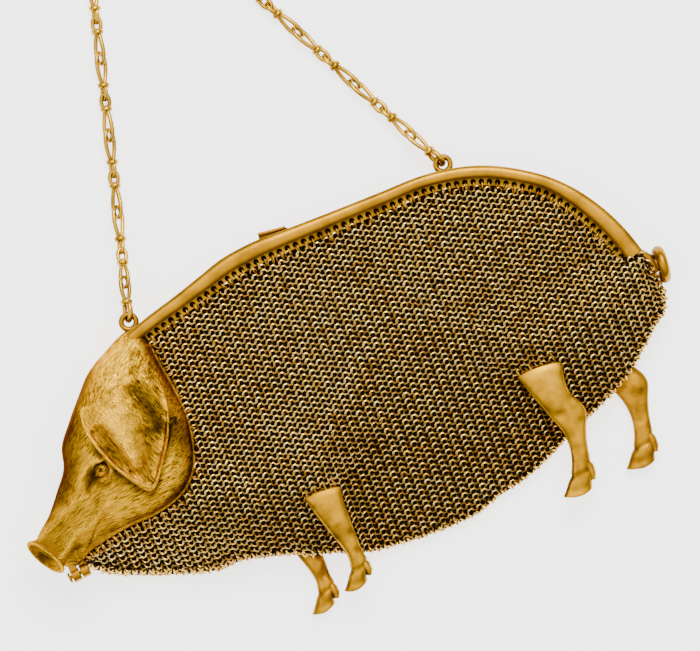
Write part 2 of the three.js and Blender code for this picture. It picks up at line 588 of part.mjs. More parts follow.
// Chain route: a straight strand from each loop, with a round turn where the strands would meet
function chainRoute() {
  const { apexX, apexY, long, join, full, firstLong, lastLong, firstReach, lastReach } = CHAIN;
  const [left, right] = LOOP_PLACES.map(({ x, y }) => new THREE.Vector2(x, y));
  const apex = new THREE.Vector2(apexX, apexY);
  const up = apex.clone().sub(left);
  const down = right.clone().sub(apex);
  const turn = Math.abs(up.angleTo(down));
  const length = firstReach + firstLong + full * (join + long) + join + lastLong + lastReach;
  const radius = (up.length() + down.length() - length) / (2 * Math.tan(turn / 2) - turn);
  const cut = radius * Math.tan(turn / 2);
  const leftRun = up.length() - cut;
  const arc = radius * turn;
  up.normalize();
  down.normalize();
  const start = left.clone().addScaledVector(up, leftRun);
  const middle = start.clone().add(new THREE.Vector2(up.y, -up.x).multiplyScalar(radius));
  const planAt = (s) => {
    if (s <= leftRun) {
      return left.clone().addScaledVector(up, s);
    }
    if (s >= leftRun + arc) {
      return apex.clone().addScaledVector(down, cut + s - leftRun - arc);
    }
    return start.clone().rotateAround(middle, -(s - leftRun) / radius);
  };
  const heightAt = (s) => {
    const [from, place] = s < length / 2 ? [s, left] : [length - s, right];
    const top = seamAt(place.x) - LOOP.depth;
    return mix(top, CHAIN.height, smoothstep(from, 0, CHAIN.settle));
  };
  return { length, at: (s) => point(planAt(s).x, planAt(s).y, heightAt(s)) };
}

// Axes of one stretch of chain: along it, across it in plan, and up from it
function stretchAxes(from, to) {
  const along = to.clone().sub(from).normalize();
  const across = point(0, 0, 1).cross(along).normalize();
  return { along, across, up: along.clone().cross(across) };
}

// Loop from a collar: it leaves the collar narrow and is widest near its round end
function pearLoop(from, axes, length, width, neck, roll) {
  const side = axes.across.clone().multiplyScalar(Math.cos(roll)).addScaledVector(axes.up, Math.sin(roll));
  const normal = axes.along.clone().cross(side);
  const points = Array.from({ length: CHAIN.loopSteps }, (_, i) => {
    const angle = (2 * Math.PI * i) / CHAIN.loopSteps;
    const reach = (1 - Math.cos(angle)) / 2;
    const spread = Math.sin(angle) * mix(neck, 1, reach);
    return from.clone().addScaledVector(axes.along, length * reach).addScaledVector(side, width * spread);
  });
  return wireLoop(points, normal, CHAIN.wire, CHAIN.wireSides);
}

function collar(at, axes) {
  const { collarRadius, collarLip, collarHalf, collarSides } = CHAIN;
  const profile = [[0, -collarHalf], [collarLip, -collarHalf], [collarRadius, 0],
    [collarLip, collarHalf], [0, collarHalf]];
  const barrel = new THREE.LatheGeometry(profile.map(([r, h]) => new THREE.Vector2(r, h)), collarSides);
  barrel.applyQuaternion(new THREE.Quaternion().setFromUnitVectors(point(0, 1, 0), axes.along));
  return solidOf(barrel.translate(at.x, at.y, at.z));
}

function reversedAxes({ along, across, up }) {
  return { along: along.clone().negate(), across: across.clone().negate(), up };
}

// Two long loops hooked into each other at right angles, a collar at each end and an eye beyond it
function linkPair(route, from, to, eyes) {
  const [a, b] = [route.at(from), route.at(to)];
  const axes = stretchAxes(a, b);
  const back = reversedAxes(axes);
  const reach = a.distanceTo(b) / 2 + CHAIN.hook;
  const { loopWidth, neck, roll } = CHAIN;
  const eyeOf = (at, s, eye) => {
    const end = route.at(s + eye.step);
    return pearLoop(at, stretchAxes(at, end), eye.length, eye.width, 1, eye.roll);
  };
  return [
    pearLoop(a, axes, reach, loopWidth, neck, roll),
    pearLoop(b, back, reach, loopWidth, neck, roll),
    collar(a, axes), collar(b, axes), eyeOf(a, from, eyes[0]), eyeOf(b, to, eyes[1]),
  ];
}

function chainGeometry() {
  const route = chainRoute();
  const { long, join, full, firstLong, lastLong, firstReach, lastReach, hook } = CHAIN;
  const lengths = [firstLong, ...Array(full).fill(long), lastLong];
  const eye = (step, roll) => ({ step, length: join / 2 + hook, width: CHAIN.eyeWidth, roll });
  const endEye = (step) => ({
    step, length: Math.abs(step) - CHAIN.endEyeInset, width: CHAIN.endEyeWidth, roll: Math.PI / 2,
  });
  let s = firstReach;
  const solids = lengths.flatMap((length, i) => {
    const from = s;
    s += length + join;
    const first = i === 0 ? endEye(-firstReach) : eye(-join, Math.PI / 2);
    const second = i === lengths.length - 1 ? endEye(lastReach) : eye(join, 0);
    return linkPair(route, from, from + length, [first, second]);
  });
  return geometryOf(joined(solids));
}

function piece(name, geometry, material) {
  const mesh = new THREE.Mesh(geometry, material);
  mesh.name = name;
  return mesh;
}

const purse = new THREE.Group();
purse.position.set(-CENTRE.x, -CENTRE.y, 0);

const frame = new THREE.Group();
frame.position.z = SEAM_HEIGHT;
frame.rotation.y = SEAM_TILT;
const farHalf = joined([frameHalf(1), ...LOOP_PLACES.map(chainLoop), leverPost()]);
frame.add(piece('near_frame', geometryOf(frameHalf(-1)), gold));
frame.add(piece('far_frame', mirrored(geometryOf(farHalf)), gold));
frame.add(piece('snout_pin', chinPinGeometry(), paleGold));
frame.add(piece('tail_curl', tailGeometry(), paleGold));
frame.add(piece('catch_lever', leverGeometry(), gold));
purse.add(frame);

purse.add(piece('mesh_bag', bagGeometry(), meshGold));
for (const leg of LEGS) {
  const mesh = piece(leg.name, legGeometry(leg), paleGold);
  mesh.position.set(0, leg.y, leg.z);
  mesh.rotation.x = THREE.MathUtils.degToRad(leg.slope);
  purse.add(mesh);
}
purse.add(piece('chain', chainGeometry(), gold));

export default purse;
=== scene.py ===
"""Looks of a gold ring-mesh purse in the shape of a pig, lying closed on its far side.

Sizes are millimetres in the purse's own plan: the pig faces -X, its back and the chain lie towards +Y.
The frame's heights are measured from the parting plane of its two halves.
"""
import math

import bmesh
import bpy
import numpy as np
from mathutils import Matrix, Vector, noise
from mathutils.bvhtree import BVHTree


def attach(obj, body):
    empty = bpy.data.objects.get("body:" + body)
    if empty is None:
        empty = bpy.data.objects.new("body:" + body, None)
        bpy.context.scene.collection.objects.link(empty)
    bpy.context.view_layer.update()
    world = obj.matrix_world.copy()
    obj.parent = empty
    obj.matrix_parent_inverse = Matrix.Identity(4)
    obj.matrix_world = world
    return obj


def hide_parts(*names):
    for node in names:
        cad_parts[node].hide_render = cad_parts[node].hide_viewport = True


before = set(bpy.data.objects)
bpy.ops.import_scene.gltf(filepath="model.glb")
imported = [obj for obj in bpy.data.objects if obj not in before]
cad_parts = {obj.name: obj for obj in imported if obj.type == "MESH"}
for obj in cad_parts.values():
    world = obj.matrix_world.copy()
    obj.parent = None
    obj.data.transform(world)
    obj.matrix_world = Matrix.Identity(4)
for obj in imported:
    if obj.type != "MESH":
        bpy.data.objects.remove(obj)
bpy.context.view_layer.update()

random = np.random.default_rng(27)

# Place of the purse and of its tilted frame
MM = 0.001
CENTRE = (0.9, 44.55)
SEAM_HEIGHT = 8.1
SEAM_TILT = math.radians(2.39)
PURSE_PLACE = Matrix.Translation((-CENTRE[0], -CENTRE[1], 0))
NEAR_PLACE = PURSE_PLACE @ Matrix.Translation((0, 0, SEAM_HEIGHT)) @ Matrix.Rotation(SEAM_TILT, 4, "Y")
FAR_PLACE = NEAR_PLACE @ Matrix.Scale(-1, 4, (0, 0, 1))

# Head: outline from the crown down the forehead to the snout and back along the jowl
HALF_CLEARANCE = 0.15
HEAD_CENTRE = np.array((-50.0, 17.0))
DOME_POWER = 2.6
HEAD_OUTLINE = [
    (-36.1, 41.9), (-42.5, 40), (-48.5, 37.3), (-52.8, 33.7), (-57.5, 29.4), (-61.6, 25.1), (-63.6, 20.4),
    (-67.4, 16.4), (-71.2, 12.7), (-77, 7.8), (-74.6, 2.2), (-73.2, 0.1), (-71.2, -0.7), (-69.3, -0.2),
    (-67, 1), (-56, 1.9), (-49.5, 1.5), (-43.4, 2.4), (-39.8, 4.1), (-36.8, 7), (-34.7, 11.1), (-32.9, 17),
    (-32.4, 24), (-32.7, 32), (-32.6, 37.4), (-33.0, 40.9),
]
HEAD_DEPTH = [(-78, 4.7), (-68, 5.1), (-60, 6.7), (-50, 7.9), (-42, 8), (-32, 7)]
CAST_ROUGHNESS = {"height": 0.22, "lump": 2.8}
# Direction in which the dome stays up for the snout, in degrees, and where its hair starts and how it spreads
SNOUT_BEARING = {"angle": -155.5, "full": 5, "end": 11, "extra": 0.4}
HAIR_SOURCE = (-82, 6)
HAIR_SPREAD = 34
HEAD_STEPS = 260
HEAD_RINGS = 84

# Lines of the face: lip and cheek bone; then mouth, brow and eye corner, each with a height, its width, a
# share of painted shade (a painted highlight below zero), its width and the share of the line over which it
# starts
LIP_LINE = [(-73.6, 1.6), (-70, 4.9), (-67.7, 6.3), (-64.4, 6.7), (-59.7, 8.6), (-56.9, 10.2)]
MOUTH_LINE = [(-73.6, 1.5), (-70.8, 2.6), (-68.4, 3.0)]
BROW_LINE = [(-61.6, 14.6), (-60.6, 16.3), (-59, 17.8), (-56.4, 18.9), (-53.9, 18)]
EYE_CORNER = [(-57.4, 16.5), (-59.2, 15.2), (-60.8, 14.0)]
# The cheek bone gets a painted highlight and the hollow under it painted shade
LIP = {"rise": 0.55, "width": 1.9, "under": 0.9, "painted_sheen": 0.5, "painted_light": 0.4}
FACE_LINES = [
    (MOUTH_LINE, -0.6, 0.5, 0.5, 0.5, 0), (BROW_LINE, 0.9, 0.7, -0.7, 0.6, 0.3),
    (EYE_CORNER, -0.8, 1.4, 0.9, 1.1, 0),
]
# Low swells of cheek and nose: middle, stretch along X, height and width
FACE_SWELLS = [((-46, 8), 2.0, 0.3, 3.5), ((-66, 14), 1.2, -0.35, 2.6)]

# Eye in its socket, with lower and upper lid: each fold has an amount, a distance from the eye and a width
EYE = (-56.0, 16.2)
# The socket gets painted shade with its amount and width, and each lid a painted highlight with an amount, a
# distance from the eye and a width
EYE_SOCKET = {"depth": 1.0, "width": 2.6, "painted_light": 0.95, "shade_width": 2.7}
EYE_LIDS = [
    {"toward": (0.6, -0.8), "over": (-0.3, 1.2), "folds": [(0.6, 2.2, 0.35), (0.3, 3.1, 0.4)],
     "painted_sheen": (1.5, 2.2, 0.4)},
    {"toward": (-0.5, 0.85), "over": (0.1, 1.3), "folds": [(1.3, 1.75, 0.6)], "painted_sheen": (0.5, 2.1, 0.5)},
]
EYEBALL = [(1.95, -1.0), (1.9, -0.1), (1.72, 0.28), (1.4, 0.56), (1.1, 0.72), (0.82, 0.8), (0.6, 0.82),
           (0.46, 0.7), (0.24, 0.64), (0.04, 0.62)]

# Ear: outline, ridge down its middle, and hollows beside it with depth and width
EAR_CENTRE = np.array((-44.0, 22.0))
EAR_SINK = 0.6
EAR_HALF = 11
EAR_OUTLINE = [
    (-35, 38.2), (-46, 35.2), (-53.3, 31.4), (-55, 25.9), (-53.5, 16.7), (-51.1, 11.1), (-47.9, 6.7),
    (-41.5, 12.5), (-38.1, 17), (-34.9, 24), (-34.5, 32),
]
EAR_RIDGE = [(-44.2, 36.0), (-47.0, 31.3), (-47.3, 24.4), (-47.4, 18.3), (-48.2, 13.5)]
EAR_HOLLOWS = [
    ([(-40.6, 28), (-39.5, 23.5), (-39.5, 19)], 1.25, 2.2),
    ([(-42.4, 18), (-43.4, 15), (-45.6, 12.2)], 0.8, 1.8),
    ([(-52.2, 24), (-51.9, 20), (-51.2, 16), (-49.8, 12.4)], 1.15, 1.6),
    ([(-36.4, 36.4), (-38.8, 32.5)], 0.7, 1.6),
]
EAR_FRONT = EAR_CENTRE[0] - 2
# Painted shadow along the ear's lower edge on the head: its strength, its spread in front of and behind the
# ear's front, and the heights over which it fades
EAR_SHADOW = {"painted_light": 0.85, "front": 1.5, "rear": 0.9, "top": (20, 27)}

# Snout disc of one half: middle, directions along and across it, half sizes
SNOUT_AHEAD = np.array((-0.917, -0.397, 0))
SNOUT_ALONG = np.array((0.397, -0.917, 0))
SNOUT_UP = np.array((0, 0, 4.3)) - 3.0 * SNOUT_AHEAD
SNOUT_UP /= np.linalg.norm(SNOUT_UP)
SNOUT_OUT = np.cross(SNOUT_ALONG, SNOUT_UP)
SNOUT_MIDDLE = np.array((-76.4, 4.4, 2.45))
SNOUT_HALF = (5.05, 2.65)
NOSTRIL_LINE = [(-77.0, 5.3), (-76.0, 3.8)]
# Rings of the disc from the neck over the bead to the dished face: size, way out and way back into the head
SNOUT_RINGS = [
    (0.55, -0.6, 4.4), (0.76, -0.7, 2.2), (0.88, -0.62, 0.7), (0.97, -0.45, 0), (1.04, -0.15, 0),
    (1.06, 0.1, 0), (1.02, 0.38, 0), (0.95, 0.46, 0), (0.88, 0.34, 0), (0.82, 0.12, 0), (0.72, -0.1, 0),
    (0.55, -0.24, 0), (0.4, -0.3, 0), (0.25, -0.33, 0), (0.1, -0.34, 0),
]

# Back bar and punched rail; each row is x, y, half width, and the belly's edge opposite to it
BAR_DEPTH = 4.8
BAR_SHOULDER = 4.15
BAR_CROWN_POWER = 3
BAR_RAIL = {"low": 2.3, "high": 2.8, "reach": 1.6, "root": 0.9, "mesh": 1.4, "tuck": 2.7}
JOWL_RAIL = {"low": 1.7, "high": 2.2, "reach": 0.15, "root": 2.2, "mesh": 0.55, "tuck": 1.4}
HOLE = {"radius": 0.7, "pitch": 2.0, "out": 0.76}
JOWL_SECTIONS = [
    (-69, 0.1, 0, -70.2, -1.7), (-67, 1, 0, -69, -3), (-62.5, 1.6, 0, -65.5, -6.4),
    (-56, 1.9, 0, -59.5, -9.8), (-49.5, 1.5, 0, -53, -13),
    (-43.4, 2.4, 0, -47, -15.7), (-39.8, 4.1, 0, -42, -17.2), (-36.8, 7, 0, -37.5, -17.4),
    (-34.7, 11.1, 0, -33, -18.9), (-32.9, 17, 0, -28.5, -20.6), (-32.4, 24, 0, -24.5, -22.4),
    (-32.7, 32, 0, -20.5, -24.6), (-32.8, 37.1, 0, -17, -25.6),
]
BAR_SECTIONS = [
    (-33.2, 40.45, 1.45, -15.6, -26.4), (-29.5, 41.15, 1.5, -13.5, -27.4), (-22, 42.3, 1.6, -9.5, -29.6),
    (-15, 43.55, 1.75, -5, -30.7),
    (-9, 44.6, 1.85, -1, -31.5), (-1.5, 44.75, 1.85, 5, -32.4), (5.5, 44.15, 1.7, 10.5, -32.9),
    (13, 43.4, 1.6, 16.4, -33.2), (20, 42.75, 1.5, 22, -31.9), (30, 41.8, 1.45, 29, -31.2),
    (39.5, 40.95, 1.4, 36, -29.5), (47.5, 38.95, 1.45, 43, -27.1), (54, 36.15, 1.45, 49.5, -25),
    (60.2, 32, 1.45, 56, -22.9), (65.4, 27.3, 1.45, 62.3, -20.3), (69.1, 22.1, 1.7, 67.5, -17),
    (72.5, 15.1, 1.9, 72.5, -13.6), (74.5, 8.9, 1.95, 76.3, -11.4), (75.6, 3.5, 1.95, 78.2, -7.6),
]
BAR_ROOT = (-36, 39.9, 1.4)
RAIL_ROWS = BAR_SECTIONS[:-1] + [(75.5, 4.1, 1.95)]
# Mouth and belly points past the end of the bar, over the rump hinge
RUMP_ROWS = [
    (73.6, 4.0, 78.3, -6.4), (75.0, 4.1, 78.2, -4.9), (76.3, 3.7, 78.1, -3.2), (77.2, 2.6, 78.0, -1.8),
]

# Hinges on one line along X, with the chin's pin and the curled tail at the rump
CHIN_HINGE = {"x": -71.0, "y": -2.45, "radius": 1.55, "length": 2.0, "lug": 3.4, "lug_top": 1.0}
CHIN_PIN = {"radius": 0.45, "head": 1.25, "head_length": 0.6}
RUMP_HINGE = {"x": 77.35, "y": -1.4, "radius": 1.4, "length": 1.0, "lug": 3.0, "lug_top": 1.2}
RUMP_TONGUE = [
    (76.2, 3.9, 1.3, 0.8), (77.2, 3.1, 1.3, 0.95), (78.1, 1.6, 1.1, 1.05), (78.6, -0.5, 0.7, 1.1),
    (78.6, -2.4, 0.4, 1.0),
]
PIECE_GAP = 0.3
TAIL = {
    "pin": 0.7, "radius": 1.28, "coil": 3.15, "inner": 0.6, "start": 79.6, "end": 80.4, "first": -130,
    "last": 245, "tip": 25, "yaw": -12,
}

# Loops that carry the chain, and the post of the catch lever, all on the far half
LOOP = {"ring": 1.72, "wire": 0.66, "depth": 1.1}
LOOP_PLACES = [(-34.7, 43.5), (46.3, 42.4)]
POST = {"x": 7.0, "y": 46.28, "radius": 0.22, "top": 2.85, "lug_top": 3.0, "lug_base": 3.8, "half": 0.45,
        "length": 2.6}
LEVER = {"tip": (1.3, 47.5), "tip_radius": 0.42, "eye_radius": 0.36, "near": 0.5, "far": 2.7, "edge": 0.14}
# Plate under the lever, drawn in the rail's dark gold as painted shadow in the gap between lever and bar
LEVER_PLATE = [(0.5, 45.6), (0.9, 47.3), (1.5, 47.7), (4.5, 46.95), (7.2, 46.5), (8.2, 45.4)]

# Bag of ring mesh, slack between the rail and the belly's edge
BAG = {"lip": 3.3, "sheet_lip": 1.5, "puff": 3.2, "drop": 0.35, "belly": 2.8, "full_width": 45}
FAR_LEG_ROOM = {"rise": 3.9, "margin": 3.2, "fall": 9, "free_fall": 26}
RING = {"outer": 1.88, "wire": 0.32, "column": 1.15, "pitch": 1.34, "lean": 26, "sink": 0.65, "start": 0.6,
        "drift": 0.12, "jitter": 0.05, "spin": 0.07, "spread": 0.025}
EDGE_RING = {"pitch": 0.95, "rise": 1.25, "lean": 0.7, "jitter": 0.12, "size": (1.15, 1.0, 1.0)}

# Legs: rows of y, front, back and half depth from the linked top edge down to the sole
FRONT_LEG = [
    (0, -17.7, -8.8, 0.9), (-1.4, -17.4, -9.2, 1.4), (-5.2, -16.8, -9.9, 1.6), (-9.4, -16, -10.4, 1.6),
    (-13.4, -15.2, -10.9, 1.45), (-16.5, -15, -11.3, 1.35), (-18.9, -15.8, -11.3, 1.4),
    (-20.6, -17, -12.6, 1.45), (-22.8, -18.9, -13.7, 1.4),
]
HIND_LEG = [
    (0, 38.4, 49.1, 0.9), (-1.5, 38.8, 48.9, 1.4), (-5.5, 39.7, 48, 1.65), (-8.4, 40.4, 47.9, 1.65),
    (-11.4, 41.1, 49.1, 1.6), (-13.7, 41.7, 49.2, 1.5), (-16.4, 42.1, 47.8, 1.4), (-20, 41.8, 46.2, 1.35),
    (-23.8, 40.3, 45, 1.35), (-26.6, 38.4, 44, 1.45), (-29.7, 35.9, 42, 1.4),
]
# Dewclaw behind the hoof, groove above the hoof, and dents at knee, hock and tendons
FRONT_FOOT = {
    "claw": [(-12.5, -17.8), (-12.1, -19.6), (-12.1, -21), (-12.5, -22.1)], "groove": -19.2, "heel": 0.0,
    "dents": [(-13.9, -8.7), (-11.4, -11.2), (-15.4, -10.4), (-12.2, -15.6)],
}
HIND_FOOT = {
    "claw": [(43.7, -23.6), (44, -25.6), (43.8, -27.3), (43.4, -28.7)], "groove": -25.8, "heel": 0.15,
    "dents": [(42.6, -11.4), (43.9, -11.6), (47.2, -8.9), (47.4, -15), (43.4, -20.5)],
}
CLAW_RADII = (0.7, 1.05, 0.95, 0.6)
LEGS = [
    {"name": name, "rows": rows, "foot": foot, "dx": dx, "y": y, "z": z, "slope": slope}
    for name, rows, foot, dx, y, z, slope in (
        ("near_front_leg", FRONT_LEG, FRONT_FOOT, 0, -11.9, 12.15, 11),
        ("near_hind_leg", HIND_LEG, HIND_FOOT, 0, -9.7, 11.2, 10),
        ("far_front_leg", FRONT_LEG, FRONT_FOOT, -9.3, -13.1, 1.7, 0),
        ("far_hind_leg", HIND_LEG, HIND_FOOT, 15.9, -10.5, 1.75, 0),
    )
]

# Chain: pairs of long loops hooked into each other, a collar and an eye at each end
CHAIN = {
    "apex": (6.6, 150.6), "wire": 0.5, "end_wire": 0.64, "height": 1.55, "long": 12.4, "join": 5.5, "full": 9,
    "first_long": 9.2, "last_long": 11.5, "first_reach": 4.6, "last_reach": 4.4, "settle": 30, "hook": 1.3,
    "pear": 7.5, "collar": 1.4, "collar_half": 0.65,
}


def unit(vector):
    return vector / np.linalg.norm(vector)


def run_along(points):
    """Length of a line of points up to each of them, in plan."""
    return np.concatenate([[0], np.cumsum(np.linalg.norm(np.diff(points[:, :2], axis=0), axis=1))])


def smoothstep(x, low, high):
    t = np.clip((x - low) / (high - low), 0, 1)
    return t * t * (3 - 2 * t)


def spline(rows, steps, closed=False):
    """Points on a centripetal Catmull-Rom curve through the rows, evenly spaced in plan."""
    p = np.asarray(rows, float)
    if closed:
        p = np.vstack([p[-1], p, p[:2]])
    else:
        p = np.vstack([2 * p[0] - p[1], p, 2 * p[-1] - p[-2]])
    fine = []
    for a, b, c, d in zip(p, p[1:], p[2:], p[3:]):
        t1 = math.sqrt(np.linalg.norm((b - a)[:2]))
        t2 = t1 + math.sqrt(np.linalg.norm((c - b)[:2]))
        t3 = t2 + math.sqrt(np.linalg.norm((d - c)[:2]))
        t = np.linspace(t1, t2, 24, endpoint=False)[:, None]
        low = (t1 - t) / t1 * a + t / t1 * b
        middle = (t2 - t) / (t2 - t1) * b + (t - t1) / (t2 - t1) * c
        high = (t3 - t) / (t3 - t2) * c + (t - t2) / (t3 - t2) * d
        fore = (t2 - t) / t2 * low + t / t2 * middle
        rear = (t3 - t) / (t3 - t1) * middle + (t - t1) / (t3 - t1) * high
        fine.append((t2 - t) / (t2 - t1) * fore + (t - t1) / (t2 - t1) * rear)
    fine = np.vstack(fine + [p[-2]])
    run = run_along(fine)
    at = np.linspace(0, run[-1], steps, endpoint=not closed)
    return np.stack([np.interp(at, run, column) for column in fine.T], axis=1)


def line_distance(x, y, line):
    """Distance from points to a line of points, the side of it they lie on, and the share along it."""
    line = np.asarray(line, float)
    best = np.full(np.shape(x), 1e9)
    side = np.zeros(np.shape(x))
    share = np.zeros(np.shape(x))
    spans = np.linalg.norm(np.diff(line, axis=0), axis=1)
    start = np.concatenate([[0], np.cumsum(spans)])
    for i, (a, b) in enumerate(zip(line, line[1:])):
        along = (b - a) / spans[i]
        t = np.clip((x - a[0]) * along[0] + (y - a[1]) * along[1], 0, spans[i])
        dx = x - a[0] - t * along[0]
        dy = y - a[1] - t * along[1]
        away = np.hypot(dx, dy)
        closer = away < best
        best = np.where(closer, away, best)
        side = np.where(closer, np.sign(along[0] * dy - along[1] * dx), side)
        share = np.where(closer, (start[i] + t) / start[-1], share)
    return best, side, share


def bump(away, width):
    return np.exp(-(away / width) ** 2)


def skin(rings, looped=False):
    """Closed shape over rings of equal length: points and faces, with a fan at each end unless looped."""
    rings = np.asarray(rings, float)
    count, around = rings.shape[:2]
    points = rings.reshape(-1, 3)
    faces = []
    for i in range(count if looped else count - 1):
        here = i * around
        there = (i + 1) % count * around
        for j in range(around):
            k = (j + 1) % around
            faces.append((here + j, here + k, there + k, there + j))
    if not looped:
        ends = rings[[0, -1]].mean(axis=1)
        for row, middle in ((0, len(points)), (count - 1, len(points) + 1)):
            for j in range(around):
                faces.append((row * around + j, row * around + (j + 1) % around, middle))
        points = np.vstack([points, ends])
    return points, faces


def tube(path, radii, sides, looped=False):
    """Round wire along a path of points."""
    path = np.asarray(path, float)
    radii = np.broadcast_to(radii, len(path))
    if looped:
        ahead = np.roll(path, -1, axis=0) - np.roll(path, 1, axis=0)
    else:
        ahead = np.gradient(path, axis=0)
    ahead /= np.linalg.norm(ahead, axis=1)[:, None]
    side = np.cross(ahead[0], (0.3, 0.2, 0.93))
    angle = np.linspace(0, 2 * math.pi, sides, endpoint=False)[:, None]
    rings = []
    for p, t, r in zip(path, ahead, radii):
        side = unit(side - t * side.dot(t))
        rings.append(p + r * (np.cos(angle) * side + np.sin(angle) * np.cross(t, side)))
    return skin(rings, looped)


def turned(profile, axis, at, steps, sweep=2 * math.pi, across=None):
    """Shape turned from rows of radius and height about an axis; a part turn is closed at its ends."""
    axis = np.asarray(axis, float)
    across = unit(np.cross(axis, (0, 0, 1)) if across is None else np.asarray(across, float))
    up = np.cross(across, axis)
    profile = np.asarray(profile, float)
    full = sweep > 6
    rings = []
    for angle in np.linspace(0, sweep, steps, endpoint=not full):
        out = math.cos(angle) * across + math.sin(angle) * up
        rings.append(np.asarray(at) + profile[:, :1] * out + profile[:, 1:] * axis)
    if full:
        return skin(np.swapaxes(rings, 0, 1))
    return skin(rings)


def block(low, high, edge=0.12):
    """Box with chamfered edges, as rings from its foot to its top."""
    low = np.asarray(low, float)
    high = np.asarray(high, float)
    rings = []
    for z, draw in ((low[2], edge), (low[2] + edge, 0), (high[2] - edge, 0), (high[2], edge)):
        x0, y0, x1, y1 = low[0] + draw, low[1] + draw, high[0] - draw, high[1] - draw
        rings.append([(x0 + edge, y0, z), (x1 - edge, y0, z), (x1, y0 + edge, z), (x1, y1 - edge, z),
                      (x1 - edge, y1, z), (x0 + edge, y1, z), (x0, y1 - edge, z), (x0, y0 + edge, z)])
    return skin(rings)


def made_mesh(name, shapes, place, painted_light_map=None, flow=None):
    """One mesh of several shapes, put in its place in metres."""
    points = []
    faces = []
    for shape_points, shape_faces in shapes:
        start = sum(len(p) for p in points)
        points.append(shape_points)
        faces += [tuple(start + k for k in face) for face in shape_faces]
    points = np.vstack(points)
    matrix = np.array(place)
    points = (points @ matrix[:3, :3].T + matrix[:3, 3]) * MM
    mesh = bpy.data.meshes.new(name)
    mesh.from_pydata(points, [], faces)
    # Attribute of painted light: above zero painted shade, below zero a painted highlight
    if painted_light_map is not None:
        mesh.attributes.new("painted_light_map", "FLOAT", "POINT").data.foreach_set("value", painted_light_map)
    if flow is not None:
        mesh.attributes.new("flow", "FLOAT_VECTOR", "POINT").data.foreach_set("vector", flow.ravel())
    tidy = bmesh.new()
    tidy.from_mesh(mesh)
    bmesh.ops.recalc_face_normals(tidy, faces=tidy.faces)
    tidy.to_mesh(mesh)
    tidy.free()
    return mesh


def linked(name, data):
    """Object in the scene with its data."""
    made = bpy.data.objects.new(name, data)
    bpy.context.scene.collection.objects.link(made)
    return made


def piece(name, mesh, material, slot, *nodes, smooth=40, body="purse"):
    """Finished piece: it rides on a body and stands for CAD nodes."""
    mesh.shade_smooth()
    mesh.set_sharp_from_angle(angle=math.radians(smooth))
    mesh.materials.clear()
    mesh.materials.append(material)
    made = linked(name, mesh)
    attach(made, body)
    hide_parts(*nodes)
    return made


# Materials


def hex_colour(text):
    """Linear colour of an sRGB hex value."""
    shares = [int(text[i:i + 2], 16) / 255 for i in (1, 3, 5)]
    return tuple(s / 12.92 if s <= 0.04045 else ((s + 0.055) / 1.055) ** 2.4 for s in shares) + (1.0,)


def add(tree, kind, links=None, stops=(), **settings):
    """Node with its settings and colour stops; links gives each input a value, a node or a node's output."""
    made = tree.nodes.new(kind)
    for name, value in settings.items():
        setattr(made, name, value)
    for i, (at, colour) in enumerate(stops):
        elements = made.color_ramp.elements
        element = elements[i] if i < 2 else elements.new(at)
        element.position = at
        element.color = hex_colour(colour)
    for socket, value in (links or {}).items():
        if isinstance(value, bpy.types.Node):
            value = value.outputs[0]
        if isinstance(value, bpy.types.NodeSocket):
            tree.links.new(value, made.inputs[socket])
        else:
            made.inputs[socket].default_value = value
    return made


def new_material(name, metallic=1.0):
    """Material with its node tree and its shader."""
    material = bpy.data.materials.new(name)
    material.use_nodes = True
    tree = material.node_tree
    tree.nodes.clear()
    shader = add(tree, "ShaderNodeBsdfPrincipled", {"Metallic": metallic})
    add(tree, "ShaderNodeOutputMaterial", {"Surface": shader})
    return material, tree, shader


def steep_sides(tree, steep, flat, amount):
    """Share of painted shade on steep sides, falling to nothing on the flat faces."""
    normal = add(tree, "ShaderNodeSeparateXYZ", {0: add(tree, "ShaderNodeNewGeometry").outputs["Normal"]})
    facing = add(tree, "ShaderNodeMath", {0: normal.outputs["Z"]}, operation="ABSOLUTE")
    return add(tree, "ShaderNodeMapRange", {"Value": facing, "From Min": steep, "From Max": flat,
                                            "To Min": amount, "To Max": 0.0}, interpolation_type="SMOOTHSTEP")


